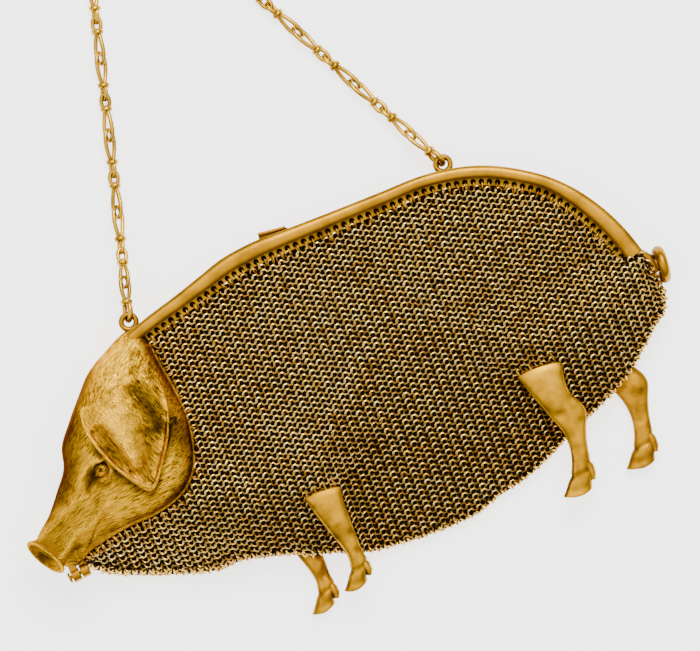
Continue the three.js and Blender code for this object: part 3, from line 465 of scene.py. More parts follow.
def chased_gold():
    """Cast gold, its hair chased with a graver: satin and dark in the strokes, with painted shade in hollows
    and on steep sides and a smoother painted highlight on ridges.
    """
    material, tree, shader = new_material("chased_gold")
    flow = add(tree, "ShaderNodeAttribute", attribute_name="flow").outputs["Vector"]
    painted_light_map = add(tree, "ShaderNodeAttribute", attribute_name="painted_light_map").outputs["Fac"]
    place = add(tree, "ShaderNodeTexCoord").outputs["Object"]
    drift = add(tree, "ShaderNodeTexNoise", {"Vector": place, "Scale": 1 / (2.5 * MM), "Detail": 2.0})
    bent = add(tree, "ShaderNodeVectorMath", {0: drift.outputs["Color"], 1: (1.1, 1.1, 0)},
               operation="MULTIPLY")
    lines = add(tree, "ShaderNodeVectorMath", {0: flow, 1: bent}, operation="ADD")
    # Strokes 0.35 mm wide and 1.8 mm long; the real ones are half as wide and would not show
    strokes = add(tree, "ShaderNodeMapping", {"Vector": lines, "Scale": (0.55, 2.9, 1)})
    hair = add(tree, "ShaderNodeTexNoise", {"Vector": strokes, "Scale": 1.0, "Detail": 3.0,
                                            "Roughness": 0.65})
    cloud = add(tree, "ShaderNodeTexNoise", {"Vector": place, "Scale": 1 / (5 * MM), "Detail": 3.0})
    mixed = add(tree, "ShaderNodeMath", {0: cloud, 1: 0.35, 2: hair}, operation="MULTIPLY_ADD")
    unshaded = add(tree, "ShaderNodeValToRGB", {"Fac": mixed},
                stops=[(0.52, "#362002"), (0.625, "#B88204"), (0.77, "#FABE0E")])
    # Painted shade in hollows and on steep sides, toward a dark brown; then a painted highlight, brighter and
    # smoother, where the attribute of painted light is below zero
    painted_shade = add(tree, "ShaderNodeMath", {0: painted_light_map, 1: 0.9, 2: steep_sides(tree, 0.1, 0.75, 0.6)},
                operation="MULTIPLY_ADD", use_clamp=True)
    shown = add(tree, "ShaderNodeMix", {"Factor": painted_shade, "A": unshaded, "B": hex_colour("#281602")},
                data_type="RGBA")
    painted_sheen = add(tree, "ShaderNodeMath", {0: painted_light_map, 1: -0.95}, operation="MULTIPLY", use_clamp=True)
    shown = add(tree, "ShaderNodeMix", {"Factor": painted_sheen, "A": shown.outputs["Result"],
                                        "B": hex_colour("#F2B618")}, data_type="RGBA")
    rough = add(tree, "ShaderNodeMapRange", {"Value": hair, "To Min": 0.4, "To Max": 0.26})
    rough = add(tree, "ShaderNodeMath", {0: painted_sheen, 1: -0.12, 2: rough}, operation="MULTIPLY_ADD")
    relief = add(tree, "ShaderNodeBump", {"Height": hair, "Strength": 1.0, "Distance": 0.4 * MM})
    shader.inputs["Specular Tint"].default_value = hex_colour("#DAB66C")
    tree.links.new(shown.outputs["Result"], shader.inputs["Base Color"])
    tree.links.new(rough.outputs[0], shader.inputs["Roughness"])
    tree.links.new(relief.outputs[0], shader.inputs["Normal"])
    return material


def satin_gold(name, low, high, roughness, grain, sides, film_size=5.0):
    """Gold rubbed to a satin polish: fine marks and a warm film in places, with painted shade on steep sides
    and from the mesh's attribute of painted light.
    """
    material, tree, shader = new_material(name)
    place = add(tree, "ShaderNodeTexCoord").outputs["Object"]
    tone = add(tree, "ShaderNodeTexNoise", {"Vector": place, "Scale": 1 / (film_size * MM), "Detail": 4.0})
    colour = add(tree, "ShaderNodeValToRGB", {"Fac": tone}, stops=[(0.32, low), (0.62, high)])
    painted_light_map = add(tree, "ShaderNodeAttribute", attribute_name="painted_light_map").outputs["Fac"]
    # Painted shade from the attribute of painted light and on steep sides, toward a dark brown
    painted_shade = add(tree, "ShaderNodeMath", {0: painted_light_map, 1: 0.9, 2: steep_sides(tree, 0.2, 0.85, sides)},
                operation="MULTIPLY_ADD", use_clamp=True)
    shown = add(tree, "ShaderNodeMix", {"Factor": painted_shade, "A": colour, "B": hex_colour("#3A2204")},
                data_type="RGBA")
    marks = add(tree, "ShaderNodeTexNoise", {"Vector": place, "Scale": 1 / (grain * MM), "Detail": 3.0})
    rough = add(tree, "ShaderNodeMapRange", {"Value": marks, "To Min": roughness - 0.07,
                                             "To Max": roughness + 0.07})
    relief = add(tree, "ShaderNodeBump", {"Height": marks, "Strength": 0.2, "Distance": 0.08 * MM})
    tree.links.new(shown.outputs["Result"], shader.inputs["Base Color"])
    tree.links.new(rough.outputs[0], shader.inputs["Roughness"])
    tree.links.new(relief.outputs[0], shader.inputs["Normal"])
    return material


def ring_gold():
    """Drawn gold wire of the mesh: red-brown tarnish on many rings, and painted shade on each ring's lower
    half.
    """
    material, tree, shader = new_material("tarnished_ring_gold")
    tarnish = add(tree, "ShaderNodeAttribute", attribute_name="tarnish").outputs["Fac"]
    upper = add(tree, "ShaderNodeAttribute", attribute_name="upper").outputs["Fac"]
    place = add(tree, "ShaderNodeTexCoord").outputs["Object"]
    spots = add(tree, "ShaderNodeTexNoise", {"Vector": place, "Scale": 1 / (0.9 * MM), "Detail": 2.0})
    mixed = add(tree, "ShaderNodeMath", {0: spots, 1: 0.4, 2: tarnish}, operation="MULTIPLY_ADD")
    colour = add(tree, "ShaderNodeValToRGB", {"Fac": mixed},
                 stops=[(0.3, "#FFE28A"), (0.62, "#FACC60"), (0.98, "#BC8636")])
    # Painted shade: each ring's lower half, where it dips under its neighbours, goes near black
    unshaded = add(tree, "ShaderNodeMapRange", {"Value": upper, "From Min": -0.6, "From Max": 0.0},
                interpolation_type="SMOOTHSTEP")
    shown = add(tree, "ShaderNodeMix", {"Factor": unshaded, "A": hex_colour("#1E1206"), "B": colour},
                data_type="RGBA")
    rough = add(tree, "ShaderNodeMapRange", {"Value": spots, "To Min": 0.22, "To Max": 0.42})
    tree.links.new(shown.outputs["Result"], shader.inputs["Base Color"])
    tree.links.new(rough.outputs[0], shader.inputs["Roughness"])
    return material


def painted_shade_material():
    """Dark sheet under the rings: painted shade for the gaps of the mesh, near black with a faint mottle."""
    material, tree, shader = new_material("painted_shade_black", 0.0)
    place = add(tree, "ShaderNodeTexCoord").outputs["Object"]
    shade_mottle = add(tree, "ShaderNodeTexNoise", {"Vector": place, "Scale": 1 / (0.8 * MM), "Detail": 2.0})
    colour = add(tree, "ShaderNodeValToRGB", {"Fac": shade_mottle}, stops=[(0.35, "#070401"), (0.75, "#24150A")])
    tree.links.new(colour.outputs[0], shader.inputs["Base Color"])
    shader.inputs["Roughness"].default_value = 0.9
    shader.inputs["Specular IOR Level"].default_value = 0.15
    return material


def floor_paper():
    """Matt white paper on a light table: it glows evenly, so that shadows on it stay faint."""
    material, tree, shader = new_material("matt_white_paper", 0.0)
    place = add(tree, "ShaderNodeTexCoord").outputs["Object"]
    fibre = add(tree, "ShaderNodeTexNoise", {"Vector": place, "Scale": 1 / (2 * MM), "Detail": 2.0})
    colour = add(tree, "ShaderNodeValToRGB", {"Fac": fibre}, stops=[(0.2, "#F4F3F2"), (0.8, "#F8F7F6")])
    tree.links.new(colour.outputs[0], shader.inputs["Base Color"])
    shader.inputs["Roughness"].default_value = 0.9
    shader.inputs["Emission Color"].default_value = hex_colour("#FFFFFF")
    shader.inputs["Emission Strength"].default_value = 2.4
    return material


CHASED = chased_gold()
BAR_GOLD = satin_gold("satin_bar_gold", "#966804", "#C08806", 0.36, 0.4, 0.45)
LEG_GOLD = satin_gold("satin_leg_gold", "#AE7A04", "#ECAC0A", 0.34, 0.8, 0.7, film_size=3.4)
# Darker copy of the leg gold for the far legs, which lie in shade: painted shade
FAR_LEG_GOLD = satin_gold("shaded_far_leg_gold", "#805404", "#C68C08", 0.36, 1.0, 0.7, film_size=3.4)
# Dull gold of the rail, partly its own dull finish and partly painted shade from the bar over it
RAIL_GOLD = satin_gold("dull_shaded_rail_gold", "#664404", "#AA7A0A", 0.42, 0.7, 0.3)
LINK_GOLD = satin_gold("warm_link_gold", "#9A6614", "#E4AC40", 0.3, 0.7, 0.5)
WIRE_GOLD = satin_gold("polished_wire_gold", "#A87C10", "#E8B42A", 0.26, 0.5, 0.75)
RING_GOLD = ring_gold()
SHADE = painted_shade_material()


# Wire loops laid out by Geometry Nodes: mesh rings, hanging links, chain loops and eyes


def wire_loop_tree():
    """Loops of wire on points: each point's turn and size attributes set how its loop lies."""
    tree = bpy.data.node_groups.new("wire_loops", "GeometryNodeTree")
    for name, kind in (("Points", "Geometry"), ("Length", "Float"), ("Half width", "Float"),
                       ("Neck", "Float"), ("Start", "Float"), ("Wire radius", "Float"), ("Loop steps", "Int"),
                       ("Wire steps", "Int"), ("Finish", "Material")):
        tree.interface.new_socket(name, in_out="INPUT", socket_type="NodeSocket" + kind)
    tree.interface.new_socket("Loops", in_out="OUTPUT", socket_type="NodeSocketGeometry")
    sizes = add(tree, "NodeGroupInput").outputs
    circle = add(tree, "GeometryNodeCurvePrimitiveCircle", {"Resolution": sizes["Loop steps"], "Radius": 1.0})
    at = add(tree, "ShaderNodeSeparateXYZ", {0: add(tree, "GeometryNodeInputPosition")}).outputs
    reach = add(tree, "ShaderNodeMath", {0: at["X"], 1: -0.5, 2: 0.5}, operation="MULTIPLY_ADD")
    along = add(tree, "ShaderNodeMath", {0: reach, 1: sizes["Length"]}, operation="MULTIPLY")
    shifted = add(tree, "ShaderNodeMath", {0: along, 1: sizes["Start"]}, operation="SUBTRACT")
    wide = add(tree, "ShaderNodeMapRange", {"Value": reach, "To Min": sizes["Neck"], "To Max": 1.0})
    spread = add(tree, "ShaderNodeMath", {0: at["Y"], 1: wide}, operation="MULTIPLY")
    across = add(tree, "ShaderNodeMath", {0: spread, 1: sizes["Half width"]}, operation="MULTIPLY")
    bent = add(tree, "ShaderNodeCombineXYZ", {"X": shifted, "Y": across})
    shaped = add(tree, "GeometryNodeSetPosition", {"Geometry": circle, "Position": bent})
    wire = add(tree, "GeometryNodeCurvePrimitiveCircle",
               {"Resolution": sizes["Wire steps"], "Radius": sizes["Wire radius"]})
    loop = add(tree, "GeometryNodeCurveToMesh", {"Curve": shaped, "Profile Curve": wire})
    # Place across each loop, stored for the ring gold's painted shade on the lower half of each ring
    level = add(tree, "ShaderNodeMath", {0: at["Y"], 1: sizes["Half width"]}, operation="DIVIDE")
    loop = add(tree, "GeometryNodeStoreNamedAttribute", {"Geometry": loop, "Name": "upper", "Value": level},
               data_type="FLOAT", domain="POINT")
    turn = add(tree, "GeometryNodeInputNamedAttribute", {"Name": "turn"}, data_type="FLOAT_VECTOR")
    size = add(tree, "GeometryNodeInputNamedAttribute", {"Name": "size"}, data_type="FLOAT_VECTOR")
    laid = add(tree, "GeometryNodeInstanceOnPoints", {
        "Points": sizes["Points"], "Instance": loop, "Scale": size,
        "Rotation": add(tree, "FunctionNodeEulerToRotation", {0: turn})})
    real = add(tree, "GeometryNodeRealizeInstances", {0: laid})
    dressed = add(tree, "GeometryNodeSetMaterial", {"Geometry": real, "Material": sizes["Finish"]})
    add(tree, "NodeGroupOutput", {0: dressed})
    return tree


WIRE_LOOPS = wire_loop_tree()


def loops_mesh(name, rows, finish, **sizes):
    """Plain mesh of wire loops: each row is a place, its axes, a size and a tarnish."""
    mesh = bpy.data.meshes.new(name)
    mesh.from_pydata([tuple(np.asarray(row[0]) * MM) for row in rows], [], [])
    turn = [Matrix(np.stack(row[1], axis=1)).to_euler() for row in rows]
    size = [row[2] if len(row) > 2 else (1, 1, 1) for row in rows]
    tarnish = [row[3] if len(row) > 3 else 0.4 for row in rows]
    for key, kind, field, values in (("turn", "FLOAT_VECTOR", "vector", turn),
                                     ("size", "FLOAT_VECTOR", "vector", size),
                                     ("tarnish", "FLOAT", "value", tarnish)):
        mesh.attributes.new(key, kind, "POINT").data.foreach_set(field, np.array(values, np.float32).ravel())
    holder = linked(name, mesh)
    layer = holder.modifiers.new("wire_loops", "NODES")
    layer.node_group = WIRE_LOOPS
    given = {"Finish": finish, "Neck": 1.0, **sizes}
    for socket in WIRE_LOOPS.interface.items_tree:
        if socket.in_out == "INPUT" and socket.name in given:
            value = given[socket.name]
            if socket.name in ("Length", "Half width", "Start", "Wire radius"):
                value = value * MM
            layer[socket.identifier] = value
    bpy.context.view_layer.update()
    depsgraph = bpy.context.evaluated_depsgraph_get()
    plain = bpy.data.meshes.new_from_object(holder.evaluated_get(depsgraph), depsgraph=depsgraph)
    holder.modifiers.remove(layer)
    bpy.data.objects.remove(holder)
    plain.name = name
    for key in ("turn", "size"):
        if key in plain.attributes:
            plain.attributes.remove(plain.attributes[key])
    return plain


def joined_mesh(name, meshes):
    """One mesh of several plain meshes."""
    both = bmesh.new()
    for mesh in meshes:
        both.from_mesh(mesh)
    mesh = bpy.data.meshes.new(name)
    both.to_mesh(mesh)
    both.free()
    return mesh


def placed(matrix, point):
    return np.array(matrix @ Vector(point))


# Head


HEAD_EDGE = spline(HEAD_OUTLINE, HEAD_STEPS, closed=True)
DEPTH_LINE = spline(HEAD_DEPTH, 200)
EAR_EDGE = spline(EAR_OUTLINE, 200, closed=True)


def polar_edge(edge, centre):
    """Angles and reaches of an outline about its centre."""
    arms = edge - centre
    angle = np.arctan2(arms[:, 1], arms[:, 0])
    order = np.argsort(angle)
    return angle[order], np.hypot(arms[:, 0], arms[:, 1])[order]


HEAD_REACH = polar_edge(HEAD_EDGE, HEAD_CENTRE)
EAR_REACH = polar_edge(EAR_EDGE, EAR_CENTRE)


def outline_share(x, y, centre, reach):
    """Share of the way from the centre to the outline, and the direction."""
    angle = np.arctan2(y - centre[1], x - centre[0])
    return np.hypot(x - centre[0], y - centre[1]) / np.interp(angle, *reach, period=2 * math.pi), angle


def head_dome(x, y):
    """Height of the smooth head above the parting plane: it stays up at the snout, and the cheek is flat."""
    share, angle = outline_share(x, y, HEAD_CENTRE, HEAD_REACH)
    turn = np.abs(np.degrees(angle) - SNOUT_BEARING["angle"])
    snout = 1 - smoothstep(turn, SNOUT_BEARING["full"], SNOUT_BEARING["end"])
    share = np.clip(share, 0, 1) / (1 + SNOUT_BEARING["extra"] * snout)
    depth = np.interp(x, DEPTH_LINE[:, 0], DEPTH_LINE[:, 1])
    power = DOME_POWER + 2.2 * smoothstep(x, -52, -38)
    return HALF_CLEARANCE + depth * np.sqrt(1 - share ** power)


def face_relief(x, y):
    """Cheek bone, mouth, brow and eye socket, raised from or sunk into the smooth head; painted shade in
    hollows and below the ear, painted highlight on ridges.
    """
    away, side, share = line_distance(x, y, LIP_LINE)
    fade = 1 - 0.6 * smoothstep(share, 0.7, 1)
    bone = bump(away, LIP["width"]) * fade
    under = np.where(side < 0, smoothstep(away, 0.5, 2.4) * bump(away, 6), 0) * fade
    height = LIP["rise"] * bone - LIP["under"] * under
    painted_light = LIP["painted_light"] * under - LIP["painted_sheen"] * bone
    for line, rise, width, amount, shade_width, start in FACE_LINES:
        away, _, share = line_distance(x, y, line)
        height += rise * bump(away, width) * (0.5 + 0.5 * smoothstep(share, 0, start) if start else 1)
        painted_light += amount * bump(away, shade_width)
    around = np.hypot(x - EYE[0], y - EYE[1])
    height -= EYE_SOCKET["depth"] * bump(around, EYE_SOCKET["width"])
    painted_light += EYE_SOCKET["painted_light"] * bump(around, EYE_SOCKET["shade_width"])
    for lid in EYE_LIDS:
        part = smoothstep((x - EYE[0]) * lid["toward"][0] + (y - EYE[1]) * lid["toward"][1], *lid["over"])
        height += part * sum(rise * bump(around - at, width) for rise, at, width in lid["folds"])
        amount, at, width = lid["painted_sheen"]
        painted_light -= amount * part * bump(around - at, width)
    for (middle_x, middle_y), stretch, rise, width in FACE_SWELLS:
        height += rise * bump(np.hypot((x - middle_x) / stretch, y - middle_y), width)
    away, _, _ = line_distance(x, y, EAR_EDGE)
    spread = np.where(x < EAR_FRONT, EAR_SHADOW["front"], EAR_SHADOW["rear"])
    painted_light += EAR_SHADOW["painted_light"] * bump(away, spread) * (1 - smoothstep(y, *EAR_SHADOW["top"]))
    return height, np.clip(painted_light, -1, 1)


def rough_relief(x, y):
    """Uneven surface of the casting."""
    lump = CAST_ROUGHNESS["lump"]
    lumps = [noise.noise((a / lump, b / lump, 3.1)) for a, b in zip(x.ravel(), y.ravel())]
    return CAST_ROUGHNESS["height"] * np.array(lumps).reshape(x.shape)


def head_shape():
    """One half of the head, with the ear's root grown into it."""
    share = np.sin(np.linspace(0.5, 0.012, HEAD_RINGS) * math.pi)
    plan = HEAD_CENTRE + share[:, None, None] * (HEAD_EDGE - HEAD_CENTRE)
    x, y = plan[..., 0], plan[..., 1]
    relief, painted_light = face_relief(x, y)
    lift, ear_painted_light = ear_swell(x, y)
    edge = ear_inset(outline_share(x, y, EAR_CENTRE, EAR_REACH)[0])
    soft = ear_soft(x, y)
    grown = soft * smoothstep(edge, -6, 0) + (1 - soft) * smoothstep(edge, 1, 4)
    relief = relief * (1 - grown) + lift * grown - (0.35 - 0.23 * soft) * smoothstep(edge, 2, 7)
    inside = smoothstep(1 - share, 0, 0.1)[:, None]
    height = head_dome(x, y) + inside * (relief + rough_relief(x, y))
    height[0] = HALF_CLEARANCE
    # Painted shade over the forehead towards the head's upper left edge, lighter on the ear
    forehead = smoothstep(-x - 0.55 * y, 22, 30) * smoothstep(y, 8, 15)
    shaded = forehead * smoothstep(share, 0.5, 0.9)[:, None]
    painted_light = (painted_light + 0.95 * shaded) * (1 - grown) + (ear_painted_light + 0.7 * shaded) * grown
    return skin(np.dstack([x, y, height])), np.append(painted_light.ravel(), (0, 0))


def ear_inset(share):
    """Way in from the ear's edge, about in millimetres."""
    return (1 - share) * EAR_HALF


def ear_soft(x, y):
    """How far the ear's edge runs into the head: crisp from its left side to the tip, soft at the crown."""
    rear = 0.6 * smoothstep(y, 15, 22) + 0.4 * smoothstep(y, 24, 33)
    return np.where(x < EAR_FRONT, smoothstep(y, 27, 32), rear)


def ear_swell(x, y):
    """Height of the ear's ridge and hollows above the smooth head, with a painted highlight on the ridge and
    painted shade in the hollows.
    """
    away, _, _ = line_distance(x, y, EAR_RIDGE)
    broad = 2.6 + 2.8 * smoothstep(y, 18, 27)
    lift = 1.1 + 1.5 * bump(away, broad)
    painted_light = (-0.95 + 0.5 * smoothstep(y, 24, 31)) * bump(away, broad)
    for line, depth, width in EAR_HOLLOWS:
        away, _, _ = line_distance(x, y, line)
        lift -= depth * bump(away, width)
        painted_light += 0.85 * depth * bump(away, width)
    lift = 0.5 * (lift + np.sqrt(lift ** 2 + 0.2))
    return lift * (1 - 0.5 * smoothstep(y, 30, 38)), painted_light


def ear_shape():
    """Outer skin of the ear, with a rolled rim where its edge is free."""
    share = np.concatenate([[1.0, 1.0], 1 - 0.985 * np.linspace(0.0, 1, 50)[1:] ** 1.15])
    plan = EAR_CENTRE + share[:, None, None] * (EAR_EDGE - EAR_CENTRE)
    x, y = plan[..., 0], plan[..., 1]
    ground = head_dome(x, y)
    lift, painted_light = ear_swell(x, y)
    edge = ear_inset(share)[:, None]
    soft = ear_soft(x, y)
    rim = (1 - soft) * bump(edge - 0.45, 0.6)
    lift = lift * (1 - 0.3 * soft * (1 - smoothstep(edge, 0, 6))) + 0.95 * rim + 0.05
    # Painted highlight on the free rim, weaker on the ear's front
    painted_light = np.clip(painted_light - np.where(x < EAR_FRONT, 0.45, 1.0) * rim, -1, 1)
    height = ground + lift + rough_relief(x, y)
    height[0] = ground[0] - EAR_SINK
    return skin(np.dstack([x, y, height])), np.append(painted_light.ravel(), (0, 0))


def eye_shape():
    """Eyeball with a small pupil: painted shade over its upper part under the lid and in the pupil, and a
    little over the rest of the ball.
    """
    sides = 28
    ground = head_dome(np.array(EYE[0]), np.array(EYE[1]))
    ball = turned(EYEBALL, (-0.1, 0.1, 0.99), (*EYE, float(ground) - 0.85), sides)
    points = np.array(ball[0])
    shaded = smoothstep((points[:, 1] - EYE[1]) * 0.85 - (points[:, 0] - EYE[0]) * 0.5, 0.1, 0.9)
    pupil = np.arange(len(points)) // sides >= 7
    return ball, np.maximum(0.9 * shaded, np.where(pupil, 0.95, 0.15))


def snout_shape():
    """Flared disc of the snout: a bead round a dished face with a nostril, drawn back into the head."""
    angle = np.linspace(0, 2 * math.pi, 56, endpoint=False)[:, None]
    oval = SNOUT_HALF[0] * np.cos(angle) * SNOUT_ALONG + SNOUT_HALF[1] * np.sin(angle) * SNOUT_UP
    rings = []
    painted_light = []
    for size, out, back in SNOUT_RINGS:
        ring = SNOUT_MIDDLE + size * oval + out * SNOUT_OUT - back * SNOUT_AHEAD
        away, _, _ = line_distance(ring[:, 0], ring[:, 1], NOSTRIL_LINE)
        pit = bump(away, 0.75) if size < 0.8 and not back else np.zeros(len(ring))
        ring -= 0.7 * pit[:, None] * SNOUT_OUT
        ring[:, 2] = np.maximum(ring[:, 2], HALF_CLEARANCE)
        rings.append(ring)
        # Painted shade in the nostril, a little on the dished face and at its middle, and a painted highlight
        # on the bead
        painted_sheen = 0.93 < size and out > -0.3
        painted_light.append(pit * 0.8 + (0.05 if size < 0.85 and not back else -0.6 if painted_sheen else 0))
    return skin(rings), np.append(np.concatenate(painted_light), (0, 0.6))


def nose_flow(points):
    """Lie of the hair on the head, from the snout backwards."""
    dx, dy = (points[:, :2] - HAIR_SOURCE).T
    return np.stack([np.hypot(dx, dy), np.arctan2(dy, dx) * HAIR_SPREAD, points[:, 2]], axis=1)


def ear_flow(points):
    """Lie of the hair on the ear, from the crown to the tip."""
    x, y, z = points.T
    return np.stack([-y + 0.35 * x, x + 0.25 * y, z], axis=1)


def make_head(name, place, node):
    """One half of the head with its ear, eye and snout disc."""
    parts = [(head_shape(), nose_flow), (ear_shape(), ear_flow), (eye_shape(), nose_flow),
             (snout_shape(), nose_flow)]
    flow = np.vstack([lie(shape[0]) for (shape, _), lie in parts])
    painted_light_map = np.concatenate([painted_light for (_, painted_light), _ in parts])
    mesh = made_mesh(name, [shape for (shape, _), _ in parts], place, painted_light_map, flow)
    piece(name, mesh, CHASED, "cast_gold", node, smooth=55)


# Back bar, punched rail and hinges


def side_normals(points):
    """Directions across a line of points in plan, towards the belly."""
    along = np.gradient(points[:, :2], axis=0)
    along /= np.linalg.norm(along, axis=1)[:, None]
    return np.stack([along[:, 1], -along[:, 0]], axis=1)


def bar_shape():
    """Half of the back bar: flat at the parting plane, with a low crown between two shoulders."""
    rows = spline([BAR_ROOT] + [row[:3] for row in BAR_SECTIONS], 170)
    normals = side_normals(rows)
    angle = np.linspace(0, math.pi, 15)
    rings = []
    for (x, y, half), n in zip(rows, normals):
        across = np.concatenate([[-half, -half], -half * np.cos(angle), [half, half]])
        rise = BAR_DEPTH - (BAR_DEPTH - BAR_SHOULDER) * np.abs(np.cos(angle)) ** BAR_CROWN_POWER
        height = np.concatenate([[HALF_CLEARANCE, 1.5], rise, [1.5, HALF_CLEARANCE]])
        rings.append(np.stack([x + n[0] * across, y + n[1] * across, height], axis=1))
    # Painted shade on the bar's shoulders and its sides
    edge = np.concatenate([[1, 1], smoothstep(np.abs(np.cos(angle)), 0.7, 1), [1, 1]])
    return skin(rings), np.append(np.tile(0.25 * edge, len(rings)), (0, 0))


def rail_line(rows, steps):
    """Middle line of a rail with its side normals, as functions of the run along it."""
    line = spline([row[:3] for row in rows], steps)
    normals = side_normals(line)
    run = run_along(line)

    def at(s, across):
        x, y, half = (np.interp(s, run, line[:, k]) for k in range(3))
        nx, ny = (np.interp(s, run, normals[:, k]) for k in range(2))
        return np.stack([x + nx * (half + across), y + ny * (half + across)], axis=-1)

    return at, run[-1]


def rail_shape(rows, rail):
    """Flat strip along the bar with a row of round punched holes."""
    at, length = rail_line(rows, 400)
    count = int(length / HOLE["pitch"])
    cell = length / count
    sides = 16
    angle = np.arange(sides) * 2 * math.pi / sides
    box = np.stack([np.cos(angle), np.sin(angle)], axis=1)
    box = box / np.abs(box).max(axis=1)[:, None]
    reach = np.where(box[:, 1] > 0, rail["reach"] - HOLE["out"], HOLE["out"] + rail["root"])
    out_c = HOLE["out"] + box[:, 1] * reach
    rim_c = HOLE["out"] + HOLE["radius"] * np.sin(angle)
    points = []
    faces = []
    for i in range(count):
        middle = (i + 0.5) * cell
        out_s = middle + box[:, 0] * cell / 2
        rim_s = middle + HOLE["radius"] * np.cos(angle)
        rings = [(rim_s, rim_c, rail["low"]), (rim_s, rim_c, rail["high"]), (out_s, out_c, rail["high"]),
                 (out_s, out_c, rail["low"])]
        rings = [np.column_stack([at(s, c), np.full(sides, z)]) for s, c, z in rings]
        around, plate = skin(rings, looped=True)
        start = i * len(around)
        points.append(around)
        faces += [tuple(start + k for k in face) for face in plate]
    return np.vstack(points), faces


def strip_shape(rows, rail):
    """Plain strip under the jowl's edge, where the head hides the holes."""
    at, length = rail_line(rows, 400)
    s = np.linspace(0, length, 160)
    corners = [(-rail["root"], rail["low"]), (rail["reach"], rail["low"]), (rail["reach"], rail["high"]),
               (-rail["root"], rail["high"])]
    return skin(np.stack([np.column_stack([at(s, c), np.full(len(s), z)]) for c, z in corners], axis=1))


def knuckle_shapes(hinge, side):
    """Barrel of one hinge half, and the lug that holds it."""
    length, radius, y = hinge["length"], hinge["radius"], hinge["y"]
    low = hinge["x"] - PIECE_GAP / 2 - length if side < 0 else hinge["x"] + PIECE_GAP / 2
    profile = [(0.01, 0), (radius - 0.15, 0), (radius, 0.15), (radius, length - 0.15),
               (radius - 0.15, length), (0.01, length)]
    barrel = turned(profile, (1, 0, 0), (low, y, 0), 28)
    lug = block((low + 0.1, y, HALF_CLEARANCE), (low + length - 0.1, y + hinge["lug"], hinge["lug_top"]))
    return [barrel, lug]


def make_bar(name, place, node, side):
    """Half of the bar with rail and hinge halves; the far one also has chain loops and the lever's post."""
    bar, tone = bar_shape()
    shapes = [bar, *knuckle_shapes(CHIN_HINGE, side), *knuckle_shapes(RUMP_HINGE, side)]
    tongue = np.array(RUMP_TONGUE)
    rails = [rail_shape(RAIL_ROWS, BAR_RAIL), strip_shape(JOWL_SECTIONS, JOWL_RAIL),
             tube(tongue[:, :3], tongue[:, 3], 16)]
    if side > 0:
        angle = np.linspace(0, 2 * math.pi, 40, endpoint=False)
        for x, y in LOOP_PLACES:
            ring = np.stack([x + LOOP["ring"] * np.cos(angle), y + LOOP["ring"] * np.sin(angle),
                             np.full(len(angle), LOOP["depth"])], axis=1)
            shapes.append(tube(ring, LOOP["wire"], 12, looped=True))
        tall = POST["lug_base"] - POST["top"]
        post = [(0.01, 0), (POST["radius"], 0), (POST["radius"], tall), (0.01, tall)]
        shapes.append(turned(post, (0, 0, 1), (POST["x"], POST["y"], POST["top"]), 16, across=(1, 0, 0)))
        back = POST["y"] + POST["half"]
        shapes.append(block((POST["x"] - POST["half"], back - POST["length"], POST["lug_top"]),
                            (POST["x"] + POST["half"], back, POST["lug_base"])))
        # Plate under the lever in the rail's dark gold: painted shadow in the gap between lever and bar
        heights = (POST["lug_top"], POST["lug_base"] - 0.2)
        rails.append(skin([[(x, y, z) for x, y in LEVER_PLATE] for z in heights]))
    tone = np.append(tone, np.zeros(sum(len(points) for points, _ in shapes[1:])))
    bar_mesh = made_mesh(name + "_bar", shapes, place, tone)
    piece(name + "_bar", bar_mesh, BAR_GOLD, "cast_gold", node, smooth=35)
    rail_mesh = made_mesh(name + "_rail", rails, place)
    piece(name + "_rail", rail_mesh, RAIL_GOLD, "cast_gold", node, smooth=35)


def make_lever():
    """Thumb lever of the catch: a tapered bar, rounded at its tip, with the rivet's head at the other end."""
    pivot, tip = np.array((POST["x"], POST["y"])), np.array(LEVER["tip"])
    arm = pivot - tip
    angle = np.linspace(-math.pi / 2, math.pi / 2, 15) + math.atan2(arm[1], arm[0])
    half_turn = np.stack([np.cos(angle), np.sin(angle)], axis=1)
    edge, near, far = LEVER["edge"], LEVER["near"], LEVER["far"]
    rings = []
    for z, draw in ((-far, edge), (edge - far, 0), (-near - edge, 0), (-near - edge / 3, edge / 2),
                    (-near, edge * 1.6)):
        ends = np.vstack([pivot + (LEVER["eye_radius"] - draw) * half_turn,
                          tip - (LEVER["tip_radius"] - draw) * half_turn])
        rings.append(np.column_stack([ends, np.full(len(ends), z)]))
    head = [(0.3, -0.1), (0.32, 0), (0.28, 0.1), (0.16, 0.16), (0.02, 0.18)]
    rivet = turned(head, (0, 0, 1), (*pivot, -near), 16, across=(1, 0, 0))
    mesh = made_mesh("thumb_lever", [skin(rings), rivet], NEAR_PLACE)
    piece("thumb_lever", mesh, BAR_GOLD, "cast_gold", "catch_lever", body="lever")


# Bag


